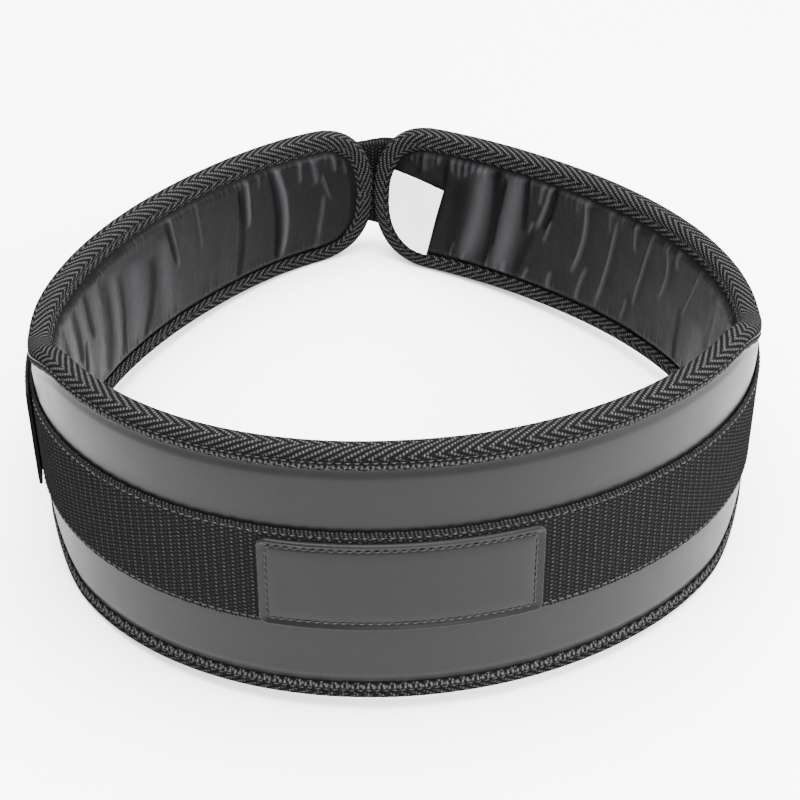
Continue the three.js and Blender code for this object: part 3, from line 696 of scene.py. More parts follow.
def leatherette(name, color):
    """Smooth matte coated cloth: a fine pebble grain, soft mottling and a few pale specks."""
    finish = Finish(name, color, 0.4, Specular_IOR_Level=0.1)
    place = finish.place()
    mottle = finish.noise(place, 45, 3.0)
    specks = finish.spread(finish.noise(place, 900, 1.0), 0.79, 0.84)
    base = finish.blend(finish.spread(mottle, 0.3, 0.7), tint(color, 0.9), tint(color, 1.1))
    finish.set("Base Color", finish.blend(specks, base, tint(color, 6.0)))
    finish.set("Roughness", finish.spread(mottle, 0.3, 0.7, 0.36, 0.44))
    grain = finish.plus(finish.cells(place, 1400), finish.times(mottle, 0.8))
    finish.bump(grain, 0.04)
    return finish.material


def herringbone(name, color, pitch, length):
    """Tape woven in wide rows of slanted lines that turn at each row. A triangle wave across the
    tape shifts the lines along it, and each line is a string of beads: the lines' sine times a
    sine along the tape. The rows wander across the tape three times in its length, and small
    upright beads line both lips. The raised beads are painted bright as glints of light on the
    yarn, and the gaps between them and the seam's groove are painted dark as shade."""
    finish = Finish(name, color, 0.6, Specular_IOR_Level=0.0)
    uv, along, across = finish.cloth()
    wobble = finish.noise(uv, 0.3, 2.0)
    turn = finish.times(finish.less(along, length / 4), 3 * math.tau / length)
    wander = finish.times(finish.sine(turn), HERRINGBONE_WANDER)
    start = finish.plus(wander, HERRINGBONE_START)
    row = finish.math("PINGPONG", finish.less(across, start), HERRINGBONE_ROW)
    lean = finish.times(row, 1 / HERRINGBONE_SLOPE)
    slanted = finish.less(finish.plus(along, finish.times(wobble, 1.5)), lean)
    line = finish.spread(finish.wave(slanted, pitch), *BEAD_RANGE)
    bead = finish.plus(along, finish.times(row, 0.35))
    bead = finish.wave(bead, pitch * 0.29)
    body = finish.times(line, finish.spread(bead, -0.6, 0.7, 0.15, 1.0))
    lip_beads = finish.wave(along, pitch * 0.42)
    ridge = finish.math("ABSOLUTE", finish.less(across, LIP_ROW_MIDDLE))
    lip = finish.times(finish.spread(lip_beads, *BEAD_RANGE), finish.spread(ridge, 1.3, 0.4))
    seam = finish.math("ABSOLUTE", finish.less(across, TAPE_OVERLAP_OUT - TAPE_SEAM_INSET))
    # Painted shade: the colour falls dark along the seam's groove, which the bump also sinks.
    height = finish.times(body, finish.spread(seam, 0.7, 2.2, 0.08, 1.0))
    height = finish.math("MAXIMUM", height, lip)
    fibres = finish.noise(uv, 1.6, 3.0)
    # Painted glints: raised beads are painted bright as light caught on the yarn, and the gaps dark as
    # shade.
    painted_glint = finish.times(height, finish.spread(fibres, 0.34, 0.62, 0.25, 1.0))
    finish.set("Base Color", finish.blend(painted_glint, tint(color, 0.06), color))
    finish.bump(finish.plus(height, finish.times(fibres, 0.25)), 0.5)
    return finish.material


def ribbed(name, color, pitch, bead):
    """Webbing with coarse ribs across its length. Beads of yarn run down each rib, and those of a
    thin rib lie between those of its neighbours: two sines multiplied, the second moved on by half
    a bead from one rib to the next. Finer slanted beads line both selvages. The raised beads are
    painted bright as glints of light, and the valleys between them are painted dark as shade."""
    finish = Finish(name, color, 0.6, Specular_IOR_Level=0.0)
    uv, along, across = finish.cloth()
    rib = finish.math("COSINE", finish.times(along, math.tau / pitch))
    half_turn = finish.times(finish.math("GREATER_THAN", rib, 0.0), math.pi)
    wobble = finish.noise(uv, 0.5, 2.0)
    down = finish.plus(finish.times(across, math.tau / bead), half_turn)
    down = finish.plus(down, finish.times(along, 0.25))
    down = finish.plus(down, finish.times(wobble, 2.2))
    beads = finish.spread(finish.sine(down), *BEAD_RANGE)
    crest = finish.math("POWER", finish.math("ABSOLUTE", rib), 1.3)
    strong = finish.spread(rib, -0.2, 0.2, 0.35, 1.0)
    body = finish.times(finish.times(beads, crest), strong)
    slant = finish.plus(finish.times(along, math.tau / 1.7), across)
    edge_beads = finish.spread(finish.sine(slant), *BEAD_RANGE)
    edge_row = finish.wave(across, 1.3)
    selvage = finish.times(edge_beads, finish.spread(edge_row, -0.5, 0.5, 0.3, 0.9))
    beside = finish.less(finish.math("ABSOLUTE", across), WEBBING_WIDTH / 2 - SELVAGE_WIDTH)
    at_edge = finish.spread(beside, -0.2, 0.2)
    height = finish.plus(body, finish.times(at_edge, finish.less(selvage, body)))
    fibres = finish.noise(uv, 1.3, 3.0)
    # Painted glints: raised beads and ribs are painted bright as light caught on the yarn, and the valleys
    # dark as shade.
    painted_glint = finish.times(height, finish.spread(fibres, 0.34, 0.62, 0.2, 1.0))
    finish.set("Base Color", finish.blend(painted_glint, tint(color, 0.12), color))
    finish.bump(finish.plus(height, finish.times(fibres, 0.3)), 0.45)
    return finish.material


def satin(name, color):
    """Thin shiny lining cloth: fine crossing yarns and crinkles, with a painted silvery highlight on the
    crests of the folds and painted shade in the creases, both taken from the relief stored with the mesh."""
    finish = Finish(name, color, 0.34, Specular_IOR_Level=0.025)
    uv, along, across = finish.cloth()
    relief = finish.node("ShaderNodeAttribute", attribute_name=RELIEF_MARK).outputs["Fac"]
    crinkle = finish.noise(uv, 0.12, 4.0, (1, 0.35, 1))
    uneven = finish.times(finish.less(crinkle, 0.5), 0.5)
    crest = finish.plus(relief, uneven)
    # Painted shade: the creases of the folds are painted down to an eighth of the satin's colour.
    crease_painted_shade = finish.blend(finish.spread(crest, -0.9, 0.1), tint(color, 0.12), color)
    # Painted highlight: the crests of the folds are painted up to seven times the satin's colour.
    finish.set("Base Color", finish.blend(finish.spread(crest, 0.1, 1.2), crease_painted_shade, tint(color, 7.0)))
    finish.set("Roughness", finish.spread(crinkle, 0.3, 0.7, 0.26, 0.4))
    warp = finish.wave(along, 0.5)
    weft = finish.wave(across, 0.6)
    weave = finish.times(finish.times(warp, weft), 0.04)
    finish.bump(finish.plus(finish.times(crinkle, 1.2), weave), 0.8)
    return finish.material


def ribbon(name, color):
    """White woven ribbon with fine cross ribs and a slight mottling."""
    finish = Finish(name, color, 0.5, Sheen_Weight=0.2)
    uv, along, _ = finish.cloth()
    ribs = finish.wave(along, 0.7)
    cloud = finish.noise(uv, 0.08, 3.0)
    finish.set("Base Color", finish.blend(finish.spread(cloud, 0.3, 0.7), tint(color, 0.94), color))
    finish.bump(ribs, 0.04)
    return finish.material


def thread(name, color):
    """Twisted sewing thread: a fine noise in its tone and its surface."""
    finish = Finish(name, color, 0.4, Specular_IOR_Level=0.2)
    place = finish.place()
    plies = finish.noise(place, 2500, 2.0)
    shade = finish.spread(plies, 0.35, 0.65)
    finish.set("Base Color", finish.blend(shade, tint(color, 0.5), tint(color, 1.8)))
    finish.bump(plies, 0.06)
    return finish.material


def coated_wire(name, color):
    """Black powder coat with a faint orange peel."""
    finish = Finish(name, color, 0.33, Specular_IOR_Level=0.4)
    place = finish.place()
    peel = finish.noise(place, 1100, 2.0)
    finish.set("Roughness", finish.spread(peel, 0.3, 0.7, 0.28, 0.4))
    finish.bump(peel, 0.03)
    return finish.material


# Settings that a user would change


def color_property(name, description, default):
    return FloatVectorProperty(
        name=name, description=description, default=default, size=3, min=0, max=1, subtype="COLOR"
    )


def length_property(name, description, default):
    return FloatProperty(
        name=name, description=description, default=default, min=0, subtype="DISTANCE", unit="LENGTH"
    )


def power_property(name, description, default):
    return FloatProperty(name=name, description=description, default=default, min=0, unit="POWER")


class BeltSizes(bpy.types.PropertyGroup):
    pad_crown: length_property("Pad crown", "How far the foam swells between seams", 0.0002)
    fold_height: length_property("Fold height", "How far a full fold stands off the lining", 0.0012)
    gather_depth: length_property("Gather depth", "Depth of the small gathers along the tape", 0.0009)
    seam_depth: length_property("Seam depth", "How far the tape's seam is pulled in", 0.0007)
    float_length: length_property("Float length", "Distance between the tape's slanted lines", 0.0053)
    rib_pitch: length_property("Rib pitch", "Distance between the webbing's coarse ribs", 0.0039)
    rib_height: length_property("Rib height", "How far a coarse rib stands up", 0.00035)
    bead_pitch: length_property("Bead pitch", "Distance between the beads down a rib", 0.002)
    rim_rise: length_property("Patch rim", "How far the patch's rolled rim stands up", 0.0008)
    stitch_pitch: length_property("Stitch pitch", "Distance from one stitch to the next", 0.0035)
    thread_width: length_property("Thread width", "Thickness of the sewing thread", 0.0007)


class BeltColors(bpy.types.PropertyGroup):
    cover: color_property("Cover", "Leatherette of the outer face", (0.005, 0.0049, 0.005))
    patch: color_property("Patch", "Leatherette of the patch", (0.0034, 0.0033, 0.0034))
    lining: color_property("Lining", "Satin of the inner face", (0.0032, 0.0032, 0.0035))
    # The tape's and the webbing's colours are those of their painted glints; the yarn between is painted
    # far darker as shade.
    tape: color_property("Tape", "Herringbone tape round the edge", (0.06, 0.06, 0.061))
    webbing: color_property("Webbing", "Ribbed webbing and straps", (0.034, 0.034, 0.035))
    thread: color_property("Thread", "Sewing thread", (0.006, 0.006, 0.006))
    label: color_property("Label", "Ribbon label", (0.66, 0.67, 0.68))
    wire: color_property("Wire loop", "Coating of the wire loop", (0.006, 0.006, 0.006))


class BeltStage(bpy.types.PropertyGroup):
    floor: color_property("Floor", "Colour of the floor", (0.95, 0.95, 0.95))
    top_light: power_property("Top light", "Power of the light overhead", 250)
    left_light: power_property("Left light", "Power of the light on the left", 15)
    right_light: power_property("Right light", "Power of the light on the right", 90)
    back_light: power_property("Back light", "Power of the light behind the belt", 50)
    front_light: power_property("Front light", "Power of the light above the camera", 60)
    sky: FloatProperty(
        name="Surroundings", description="Strength of the even light all round", default=1.6, min=0
    )


def sizes():
    return bpy.context.scene.belt_sizes


def colors():
    return bpy.context.scene.belt_colors


# Padded cover


def cover_face(s, up, inset):
    """The leatherette's height: a rounded nose at the edge, the foam's bulge inside the tape, a
    crown between tape and webbing, and a dip along the webbing's seam."""
    nose = smoothstep(inset, COVER_EDGE_INSET, TAPE_FOLD_RADIUS)
    room = np.maximum(half_height(s) - RAMP_START_INSET - WEBBING_WIDTH / 2, 1)
    beyond = np.clip((np.abs(up - WEBBING_RISE) - WEBBING_WIDTH / 2) / room, 0, 1)
    crown = sizes().pad_crown / MM * np.sin(math.pi * beyond) * np.minimum(room / 20, 1)
    dip = SEAM_DIP * bell(np.abs(up - WEBBING_RISE) - WEBBING_WIDTH / 2, SEAM_DIP_WIDTH)
    waves = PAD_WAVES * np.sin(s / 23) * np.sin(up / 17 + s / 61)
    soft = bulge(inset)
    return FOLD_FLAT + (COVER_EDGE_OUT - FOLD_FLAT) * nose + soft * (PAD_BULGE_OUT + crown - dip + waves)


def cover_back(inset):
    nose_length = TAPE_FOLD_RADIUS - COVER_EDGE_INSET
    nose = smoothstep(inset, COVER_EDGE_INSET, TAPE_FOLD_RADIUS)
    return COVER_EDGE_IN + nose_length * (1 - nose) - PAD_BULGE_IN * bulge(inset)


def closed_layer(shape, face_grid, face_out, back_grid, back_out, lowest):
    """A front and a back layer joined round the edge. At the tips the upper and lower halves fold
    onto one line, which merging closes."""
    front = on_floor(face_grid[0], face_out, face_grid[1], lowest)
    back = on_floor(back_grid[0], back_out, back_grid[1], lowest)[:, ::-1]
    u = np.concatenate([face_grid[0], back_grid[0][:, ::-1], face_grid[0][:, :1]], 1)
    v = np.concatenate([face_grid[1], back_grid[1][:, ::-1], face_grid[1][:, :1]], 1)
    shape.grid(np.concatenate([front, back], 1), u, v, loop_columns=True)


class BELT_OT_cover(bpy.types.Operator):
    """Foam padding with its leatherette face"""

    bl_idname = "belt.cover"
    bl_label = "Padded cover"

    def execute(self, context):
        outline = upper_outline(COVER_STEP, COVER_END_STEPS)
        nose = np.linspace(COVER_EDGE_INSET, TAPE_FOLD_RADIUS, 4)
        ramp = np.linspace(RAMP_START_INSET - SEWN_GAP, RAMP_END_INSET, 8)
        face_grid = layer_grid(outline, np.concatenate([nose, ramp]), 44)
        back_grid = layer_grid(outline, np.array([*nose, RAMP_START_INSET, RAMP_END_INSET]), 3)
        shape = Shape()
        closed_layer(
            shape, face_grid, cover_face(*face_grid), back_grid, cover_back(back_grid[2]),
            COVER_EDGE_INSET,
        )
        mesh = shape.mesh("padded_cover_skin", merge=True)
        cover = add_piece("cover_pad", mesh, leatherette("leatherette", tuple(colors().cover)))
        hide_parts("padded_cover")
        return {"FINISHED"}


# Lining


def fold_relief(s, up):
    """Height of the folds off the lining. Each follows the quadratic curve through its three places.
    It is a bell across its width, and fades at both ends as one less the sixth power of the
    distance from its middle. The highest ridge and the deepest crease count."""
    ridges, creases = np.zeros_like(s), np.zeros_like(s)
    for top_s, middle_s, foot_s, top, foot, width, rise in FOLDS:
        down = (top + foot - 2 * up) / (top - foot)
        beside = s - middle_s - (foot_s - top_s) / 2 * down
        beside -= ((top_s + foot_s) / 2 - middle_s) * down**2
        fold = rise * np.maximum(0, 1 - np.minimum(np.abs(down), 1) ** 6) * bell(beside, width)
        ridges, creases = np.maximum(ridges, fold), np.minimum(creases, fold)
    return ridges + creases


def gather_relief(s, up):
    """Small gathers where the tape holds the cloth: two waves of unlike length along the band that
    fade away from the edge, and deeper even pleats beside the label."""
    edge = half_height(s) - np.abs(up) - RAMP_START_INSET
    side = np.sign(up)
    reach = 5 + 3 * np.sin(s / 5.3 + side)
    wave = np.sin(s * math.tau / 3.1 + np.sin(s / 11) + side)
    wave += 0.6 * np.sin(s * math.tau / 5.3 + side * 2)
    ripple = 0.45 * np.maximum(0, wave) * bell(np.maximum(edge, 0), reach)
    beside_label = smoothstep(s, PLEAT_START, PLEAT_START + 3) * smoothstep(-s, -PLEAT_END, 3 - PLEAT_END)
    pleat_length = PLEAT_LENGTH * (0.85 + 0.3 * np.sin(s / 3.3))
    pleat = 0.5 + 0.5 * np.sin(s * math.tau / PLEAT_PITCH)
    pleats = 1.1 * beside_label * pleat * (1 - smoothstep(edge, pleat_length * 0.7, pleat_length))
    return np.where(up > 0, np.maximum(ripple, pleats), ripple)


def roll_relief(s, up):
    """A soft roll of cloth along the tape's lip, plumper in some stretches than in others."""
    edge = half_height(s) - np.abs(up) - RAMP_START_INSET
    plump = 0.55 + 0.3 * np.sin(s / 19 + np.sign(up)) + 0.15 * np.sin(s / 4.1)
    return bell(edge - 2.2, 1.3) * plump


def billow_relief(s, up):
    """Slack of the cloth between the folds: long low waves that lean."""
    return 0.5 + 0.5 * np.sin(s / 9.5 + 1.5 * np.sin(s / 31) + up / 38)


def lining_back(inset):
    return LINING_EDGE_BACK - PAD_BULGE_IN * bulge(inset)


def lining_relief(s, up):
    """Folds, gathers and the roll together, in shares of the fold height."""
    gathers = sizes().gather_depth / sizes().fold_height * gather_relief(s, up)
    return fold_relief(s, up) + gathers + 0.6 * roll_relief(s, up)


def lining_face(s, up, inset):
    relief = sizes().fold_height / MM * lining_relief(s, up) + 0.35 * billow_relief(s, up)
    return lining_back(inset) - LINING_THICKNESS - bulge(inset) * np.maximum(0, relief + 0.5)


class BELT_OT_lining(bpy.types.Operator):
    """Satin lining, gathered in upright puckers"""

    bl_idname = "belt.lining"
    bl_label = "Lining"

    def execute(self, context):
        outline = upper_outline(LINING_STEP, LINING_END_STEPS)
        ramp = np.linspace(RAMP_START_INSET - SEWN_GAP, RAMP_END_INSET, 6)
        face_grid = layer_grid(outline, np.array([LINING_EDGE_INSET, *ramp]), 36)
        back_grid = layer_grid(outline, np.array([LINING_EDGE_INSET, RAMP_START_INSET, RAMP_END_INSET]), 3)
        shape = Shape()
        closed_layer(
            shape, face_grid, lining_face(*face_grid), back_grid, lining_back(back_grid[2]),
            LINING_EDGE_INSET,
        )
        # The fold relief is stored with the mesh to place the satin's painted highlights on the crests and
        # painted shade in the creases.
        folded = lining_relief(face_grid[0], face_grid[1]) * bulge(face_grid[2])
        flat = np.zeros_like(back_grid[0])
        mesh = shape.mesh("lining_cloth", merge=True, relief=np.concatenate([folded, flat], 1))
        lining = add_piece("lining_satin", mesh, satin("satin", tuple(colors().lining)))
        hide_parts("lining")
        return {"FINISHED"}


# Edge binding


def tape_profile():
    """The tape's section, as out and inset: down the outer face's lip, round the fold's two quarter
    circles, and along the inner face to its lip; then back under it, a tape's thickness in."""
    turn = np.linspace(0, math.pi / 2, 7)
    corner = TAPE_FOLD_RADIUS
    outer = np.linspace(TAPE_OVERLAP_OUT, corner, 12)[:-1]
    inner = np.linspace(corner, TAPE_OVERLAP_IN, 12)[1:]
    out = np.concatenate([
        0 * outer + TAPE_FACE,
        FOLD_FLAT + corner * np.cos(turn),
        -(FOLD_FLAT + corner * np.sin(turn)),
        0 * inner - TAPE_FACE,
    ])
    inset = np.concatenate([
        outer,
        corner - corner * np.sin(turn),
        corner - corner * np.cos(turn),
        inner,
    ])
    return out, inset


class BELT_OT_binding(bpy.types.Operator):
    """Herringbone tape folded over the whole edge and sewn through"""

    bl_idname = "belt.binding"
    bl_label = "Edge binding"

    def execute(self, context):
        outline = full_outline(TAPE_STEP, TAPE_END_STEPS)
        out, inset = tape_profile()
        s, up, normal_s, normal_up = outline.T[:, :, None]
        line = band_point(s[:, 0], TAPE_FACE, up[:, 0])
        gaps = np.linalg.norm(np.diff(line, axis=0, append=line[:1]), axis=1)
        along = np.concatenate([[0], np.cumsum(gaps)])
        stitch = math.tau / (sizes().stitch_pitch / MM)
        pull = 0.75 + 0.25 * np.cos(along[:-1, None] * stitch)
        groove = sizes().seam_depth / MM * bell(inset - TAPE_SEAM_INSET, SEAM_WIDTH) * pull
        lip = smoothstep(inset, TAPE_SEAM_INSET, TAPE_OVERLAP_OUT)
        press = LIP_PRESS * lip**3 + LIP_WAVER * lip * np.sin(along[:-1, None] / 2.3)
        puff = TAPE_PUFF * bell(inset - (TAPE_SEAM_INSET + TAPE_OVERLAP_OUT) / 2, 1.1)
        scallop = LIP_SCALLOP * lip * np.cos(along[:-1, None] * stitch + 1)
        face = np.abs(out) - np.where(inset >= TAPE_FOLD_RADIUS, groove + press - puff, 0)
        outer_out = np.sign(out) * face
        outer_inset = inset + scallop
        inner_out = np.sign(out) * np.minimum(np.abs(out), TAPE_CAVITY)
        inner_inset = np.maximum(inset, TAPE_THICKNESS) + 0 * s

        def placed(layer_out, layer_inset, lowest):
            return on_floor(s - normal_s * layer_inset, layer_out, up - normal_up * layer_inset, lowest)

        front = placed(outer_out, outer_inset, 0)
        back = placed(inner_out + 0 * s, inner_inset, TAPE_THICKNESS)[:, ::3][:, ::-1]
        across = np.concatenate([[0], np.cumsum(np.hypot(np.diff(out), np.diff(inset)))])
        v = np.concatenate([across, across[::3][::-1], [0]])
        shape = Shape()
        shape.grid(np.concatenate([front, back], 1), along[:, None], v, loop_rows=True, loop_columns=True)
        color, pitch = tuple(colors().tape), sizes().float_length / MM
        material = herringbone("herringbone_tape", color, pitch, float(along[-1]))
        tape = add_piece("binding_tape", shape.mesh("binding_tape_cloth"), material)
        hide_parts("edge_binding")
        return {"FINISHED"}


# Ribbed webbing and straps


def rib_relief(along, beside_edge):
    """Coarse ribs with a thin rib in each gap: the positive half of a cosine, and a part of its
    negative half, both rounded, fading into a flat selvage."""
    wave = np.cos(along * math.tau / (sizes().rib_pitch / MM))
    ribs = np.sqrt(np.maximum(wave, 0)) + 0.6 * np.sqrt(np.maximum(-wave, 0))
    return sizes().rib_height / MM * ribs * smoothstep(beside_edge, 0.2, 1.8)


def ribbon_profile(half, thickness):
    """The section of a flat strap with rounded edges, as across and layer, the layer from -1 at the
    back to 1 at the face, with more lines near the edges."""
    inner = half * np.sin(np.linspace(math.pi / 2, -math.pi / 2, 15)) * (1 - thickness / 2 / half)
    turn = np.linspace(0, math.pi, 5)[1:-1]
    side_across = half - thickness / 2 + thickness / 2 * np.sin(turn)
    side_layer = np.cos(turn)
    across = np.concatenate([inner, -side_across, inner[::-1][::2], side_across[::-1]])
    layer = np.concatenate([np.ones(15), side_layer, -np.ones(8), side_layer[::-1]])
    return across, layer


class BELT_OT_webbing(bpy.types.Operator):
    """Ribbed webbing sewn along the middle of the cover"""

    bl_idname = "belt.webbing"
    bl_label = "Support webbing"

    def execute(self, context):
        half = WEBBING_WIDTH / 2
        across, layer = ribbon_profile(half, WEBBING_THICKNESS)
        s = even_places(-WEBBING_REACH, WEBBING_REACH, sizes().rib_pitch / MM / RIB_STEPS)[:, None]
        middle = (WEBBING_BACK + WEBBING_FACE) / 2
        seam = WEBBING_SEAM_DEPTH * bell(half - WEBBING_SEAM - np.abs(across), SEAM_WIDTH)
        relief = np.where(layer > 0.5, rib_relief(s, half - np.abs(across)) - seam, 0)
        ragged = EDGE_RAGGEDNESS * np.sin(s / 1.15) * (np.abs(across) > half - 0.6) * np.sign(across)
        out = middle + layer * WEBBING_THICKNESS / 2 + relief
        points = on_floor(s, out, across + ragged + WEBBING_RISE)
        shape = Shape()
        shape.grid(points, s, np.append(across, across[0]), loop_columns=True)
        shape.close_ends(len(s), len(across))
        webbing = add_piece("webbing_ribbed", shape.mesh("webbing_cloth"), self.material())
        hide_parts("support_webbing")
        return {"FINISHED"}

    @staticmethod
    def material():
        return ribbed(
            "ribbed_webbing", tuple(colors().webbing), sizes().rib_pitch / MM, sizes().bead_pitch / MM
        )


# Patch


class BELT_OT_patch(bpy.types.Operator):
    """Leatherette patch with a rolled rim"""

    bl_idname = "belt.patch"
    bl_label = "Front patch"

    def execute(self, context):
        half_long, half_tall, radius = PATCH_LENGTH / 2, PATCH_HEIGHT / 2, PATCH_CORNER_RADIUS
        ends = half_long - radius * (1 - np.sin(np.linspace(0, math.pi / 2, 12)))
        near = half_long - np.linspace(PATCH_SEAM + 2, radius, 8)
        middle = even_places(-near[0], near[0], 1.2)[1:-1]
        along = np.concatenate([-ends[::-1], -near[::-1], middle, near, ends])
        along = np.unique(np.round(along, 4))
        into_corner = np.maximum(np.abs(along) - (half_long - radius), 0)
        tall = half_tall - radius + np.sqrt(np.maximum(radius**2 - into_corner**2, 0))
        insets = np.array([0, 0.15, 0.45, 0.8, 1.2, 1.6, 2.0, 2.4, 2.9, 3.3, 3.7, 4.1, 4.6, 5.2])
        middle = np.linspace(1, -1, 26)[1:-1]
        edge = tall[:, None] - insets * (tall[:, None] / half_tall)
        up = np.concatenate([edge, edge[:, -1:] * middle, -edge[:, ::-1]], 1)
        corner = np.stack([
            np.abs(along)[:, None] - (half_long - radius) + 0 * up,
            np.abs(up) - (half_tall - radius),
        ])
        outside = np.hypot(*np.maximum(corner, 0)) + np.minimum(np.maximum(*corner), 0)
        toward_edge = np.maximum(radius - outside, 0)
        height = self.height(toward_edge, along[:, None], up)
        back = WEBBING_FACE + SEWN_GAP
        front = on_floor(PATCH_SHIFT + along[:, None], back + height, up - PATCH_DROP)
        rear_up = edge[:, [0, 0]] * [1, -1]
        rear = on_floor(PATCH_SHIFT + along[:, None], back, rear_up - PATCH_DROP)[:, ::-1]
        v = np.concatenate([up, rear_up[:, ::-1], up[:, :1]], 1)
        shape = Shape()
        shape.grid(np.concatenate([front, rear], 1), along[:, None] + 0 * v, v, loop_columns=True)
        shape.close_ends(len(along), v.shape[1] - 1)
        material = leatherette("patch_leatherette", tuple(colors().patch))
        patch = add_piece("patch_leatherette", shape.mesh("patch_skin"), material)
        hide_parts("front_patch")
        return {"FINISHED"}

    @staticmethod
    def height(inwards, along, up):
        """The patch's face over its back: a rolled rim, a groove along the seam, and a panel that
        swells slightly."""
        wall = np.sqrt(np.clip(inwards / 0.9, 0, 1))
        rim = sizes().rim_rise / MM * (1 - smoothstep(inwards, 1.0, PATCH_RIM_WIDTH + 0.4))
        groove = PATCH_GROOVE * bell(inwards - PATCH_SEAM, 0.7)
        swell = PATCH_SWELL * smoothstep(inwards, PATCH_SEAM, PATCH_SEAM + 5)
        ripple = 0.05 * np.sin(along / 3.1 + up / 9) * smoothstep(inwards, 0.5, 3)
        return PATCH_EDGE + wall * (PATCH_THICKNESS - PATCH_EDGE + rim - groove + swell + ripple)


# Label


class BELT_OT_label(bpy.types.Operator):
    """Folded ribbon label inside the right end, held by the tape"""

    bl_idname = "belt.label"
    bl_label = "Label"

    def execute(self, context):
        turn = math.radians(LABEL_TURN)
        across = np.linspace(-LABEL_WIDTH / 2, LABEL_WIDTH / 2, 29)[:, None]
        start_s = HALF_LENGTH - LABEL_REACH - math.sin(turn) * across
        start_up = math.cos(turn) * across - LABEL_DROP
        tries = np.linspace(0, 2 * LABEL_REACH, 400)
        beyond = np.maximum(0, start_s + math.cos(turn) * tries - STRAIGHT_HALF)
        tall = half_height(STRAIGHT_HALF) - RAMP_START_INSET
        inside = (
            (beyond / (ROUND_END_LENGTH - RAMP_START_INSET)) ** END_FULLNESS
            + (np.abs(start_up + math.sin(turn) * tries) / tall) ** END_FULLNESS
        ) <= 1
        last = np.where(inside, np.arange(len(tries)), 0).max(1)
        reach = tries[last][:, None]
        inwards = reach * np.linspace(0, 1, 25)
        s = start_s + math.cos(turn) * inwards
        up = start_up + math.sin(turn) * inwards
        resting = lining_face(s, up, np.full_like(s, RAMP_END_INSET)) - SEWN_GAP
        free = 1 - smoothstep(inwards, 0, LABEL_HELD_LENGTH)
        lift = free * (LABEL_LIFT + LABEL_CURL * np.sin(across / 7 + 1))
        lift += LABEL_CREASE * bell(inwards - 5, 1.5)
        back = np.minimum(resting, -TAPE_CAVITY - PAD_BULGE_IN) - lift
        face = back - LABEL_THICKNESS * (1 - 0.5 * bell(inwards, 0.8))
        front = on_floor(s, face, up)
        rear = on_floor(s, back, up)[:, ::-1]
        shape = Shape()
        u = np.concatenate([inwards, inwards[:, ::-1], 0 * reach], 1)
        shape.grid(np.concatenate([front, rear], 1), u, across + 0 * u, loop_columns=True)
        shape.close_ends(len(across), u.shape[1] - 1)
        material = ribbon("white_ribbon", tuple(colors().label))
        label = add_piece("label_ribbon", shape.mesh("label_cloth"), material)
        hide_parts("care_label")
        return {"FINISHED"}


# Closure: strap, tab and wire loop


def on_band(s, out):
    """Places on a strap's middle line over the band, each with the direction across the strap."""
    base = band_point(s, out, 0)
    across = band_point(s, out, 1) - base
    return base, across / np.linalg.norm(across, axis=-1, keepdims=True)


def loop_frame():
    """The wire loop's flat frame: its middle, and the directions along, across and outwards."""
    origin = band_point(LOOP_MIDDLE, 0, 0)
    along = band_point(LOOP_MIDDLE + 1, 0, 0) - band_point(LOOP_MIDDLE - 1, 0, 0)
    along /= np.linalg.norm(along)
    across = band_point(LOOP_MIDDLE, 0, 1) - origin
    across /= np.linalg.norm(across)
    out = np.cross(along, across)
    return origin, along, across, out / np.linalg.norm(out)


def on_loop(along, out):
    along, out = np.broadcast_arrays(np.atleast_1d(along), np.atleast_1d(out))
    origin, along_axis, across_axis, out_axis = loop_frame()
    base = origin + along[:, None] * along_axis + out[:, None] * out_axis
    return base, across_axis + 0 * base


def turn_round_bar(side):
    """Half a turn of strap round one bar of the loop: a half circle of TURN_RADIUS."""
    angles = np.linspace(-math.pi / 2, math.pi / 2, 9)
    return on_loop(
        side * (LOOP_BAR_REACH - TURN_RADIUS * np.cos(angles)), LOOP_OUT + TURN_RADIUS * np.sin(angles)
    )


def smooth_course(pieces, step):
    """A smooth line through places: between two places a cubic that leaves and arrives in the
    direction from one neighbour to the next, spaced evenly by the step."""
    base = np.concatenate([np.atleast_2d(piece[0]) for piece in pieces])
    across = np.concatenate([np.atleast_2d(piece[1]) for piece in pieces])
    keep = np.append(True, np.linalg.norm(np.diff(base, axis=0), axis=1) > 0.05)
    base, across = base[keep], across[keep]
    knots = np.append(0, np.cumsum(np.linalg.norm(np.diff(base, axis=0), axis=1)))
    tangents = np.gradient(base, knots, axis=0)
    at = even_places(0, knots[-1], step)
    index = np.clip(np.searchsorted(knots, at, side="right") - 1, 0, len(knots) - 2)
    width = (knots[index + 1] - knots[index])[:, None]
    t = (at - knots[index])[:, None] / width
    line = (
        (2 * t**3 - 3 * t**2 + 1) * base[index]
        + (t**3 - 2 * t**2 + t) * width * tangents[index]
        + (3 * t**2 - 2 * t**3) * base[index + 1]
        + (t**3 - t**2) * width * tangents[index + 1]
    )
    sideways = across[index] + (across[index + 1] - across[index]) * t
    return line, sideways / np.linalg.norm(sideways, axis=1, keepdims=True), at


def strap_shape(course):
    """A flat ribbed strap carried along a course."""
    line, sideways, at = course
    along = np.gradient(line, axis=0)
    out = np.cross(along, sideways)
    out /= np.linalg.norm(out, axis=1, keepdims=True)
    half = STRAP_WIDTH / 2
    across, layer = ribbon_profile(half, STRAP_THICKNESS)
    ribs = STRAP_RIB_SHARE * rib_relief(at[:, None], half - np.abs(across))
    relief = ribs * np.sign(layer) * (np.abs(layer) > 0.95)
    seam = STRAP_SEAM_DEPTH * bell(half - WEBBING_SEAM - np.abs(across), SEAM_WIDTH) * (layer > 0.95)
    height = layer * STRAP_THICKNESS / 2 + relief - seam
    points = (
        line[:, None]
        + out[:, None] * height[..., None]
        + sideways[:, None] * (across[:, None] + WEBBING_RISE)
    )
    shape = Shape()
    shape.grid(stand(points), at[:, None], np.append(across, across[0]), loop_columns=True)
    shape.close_ends(len(at), len(across))
    return shape


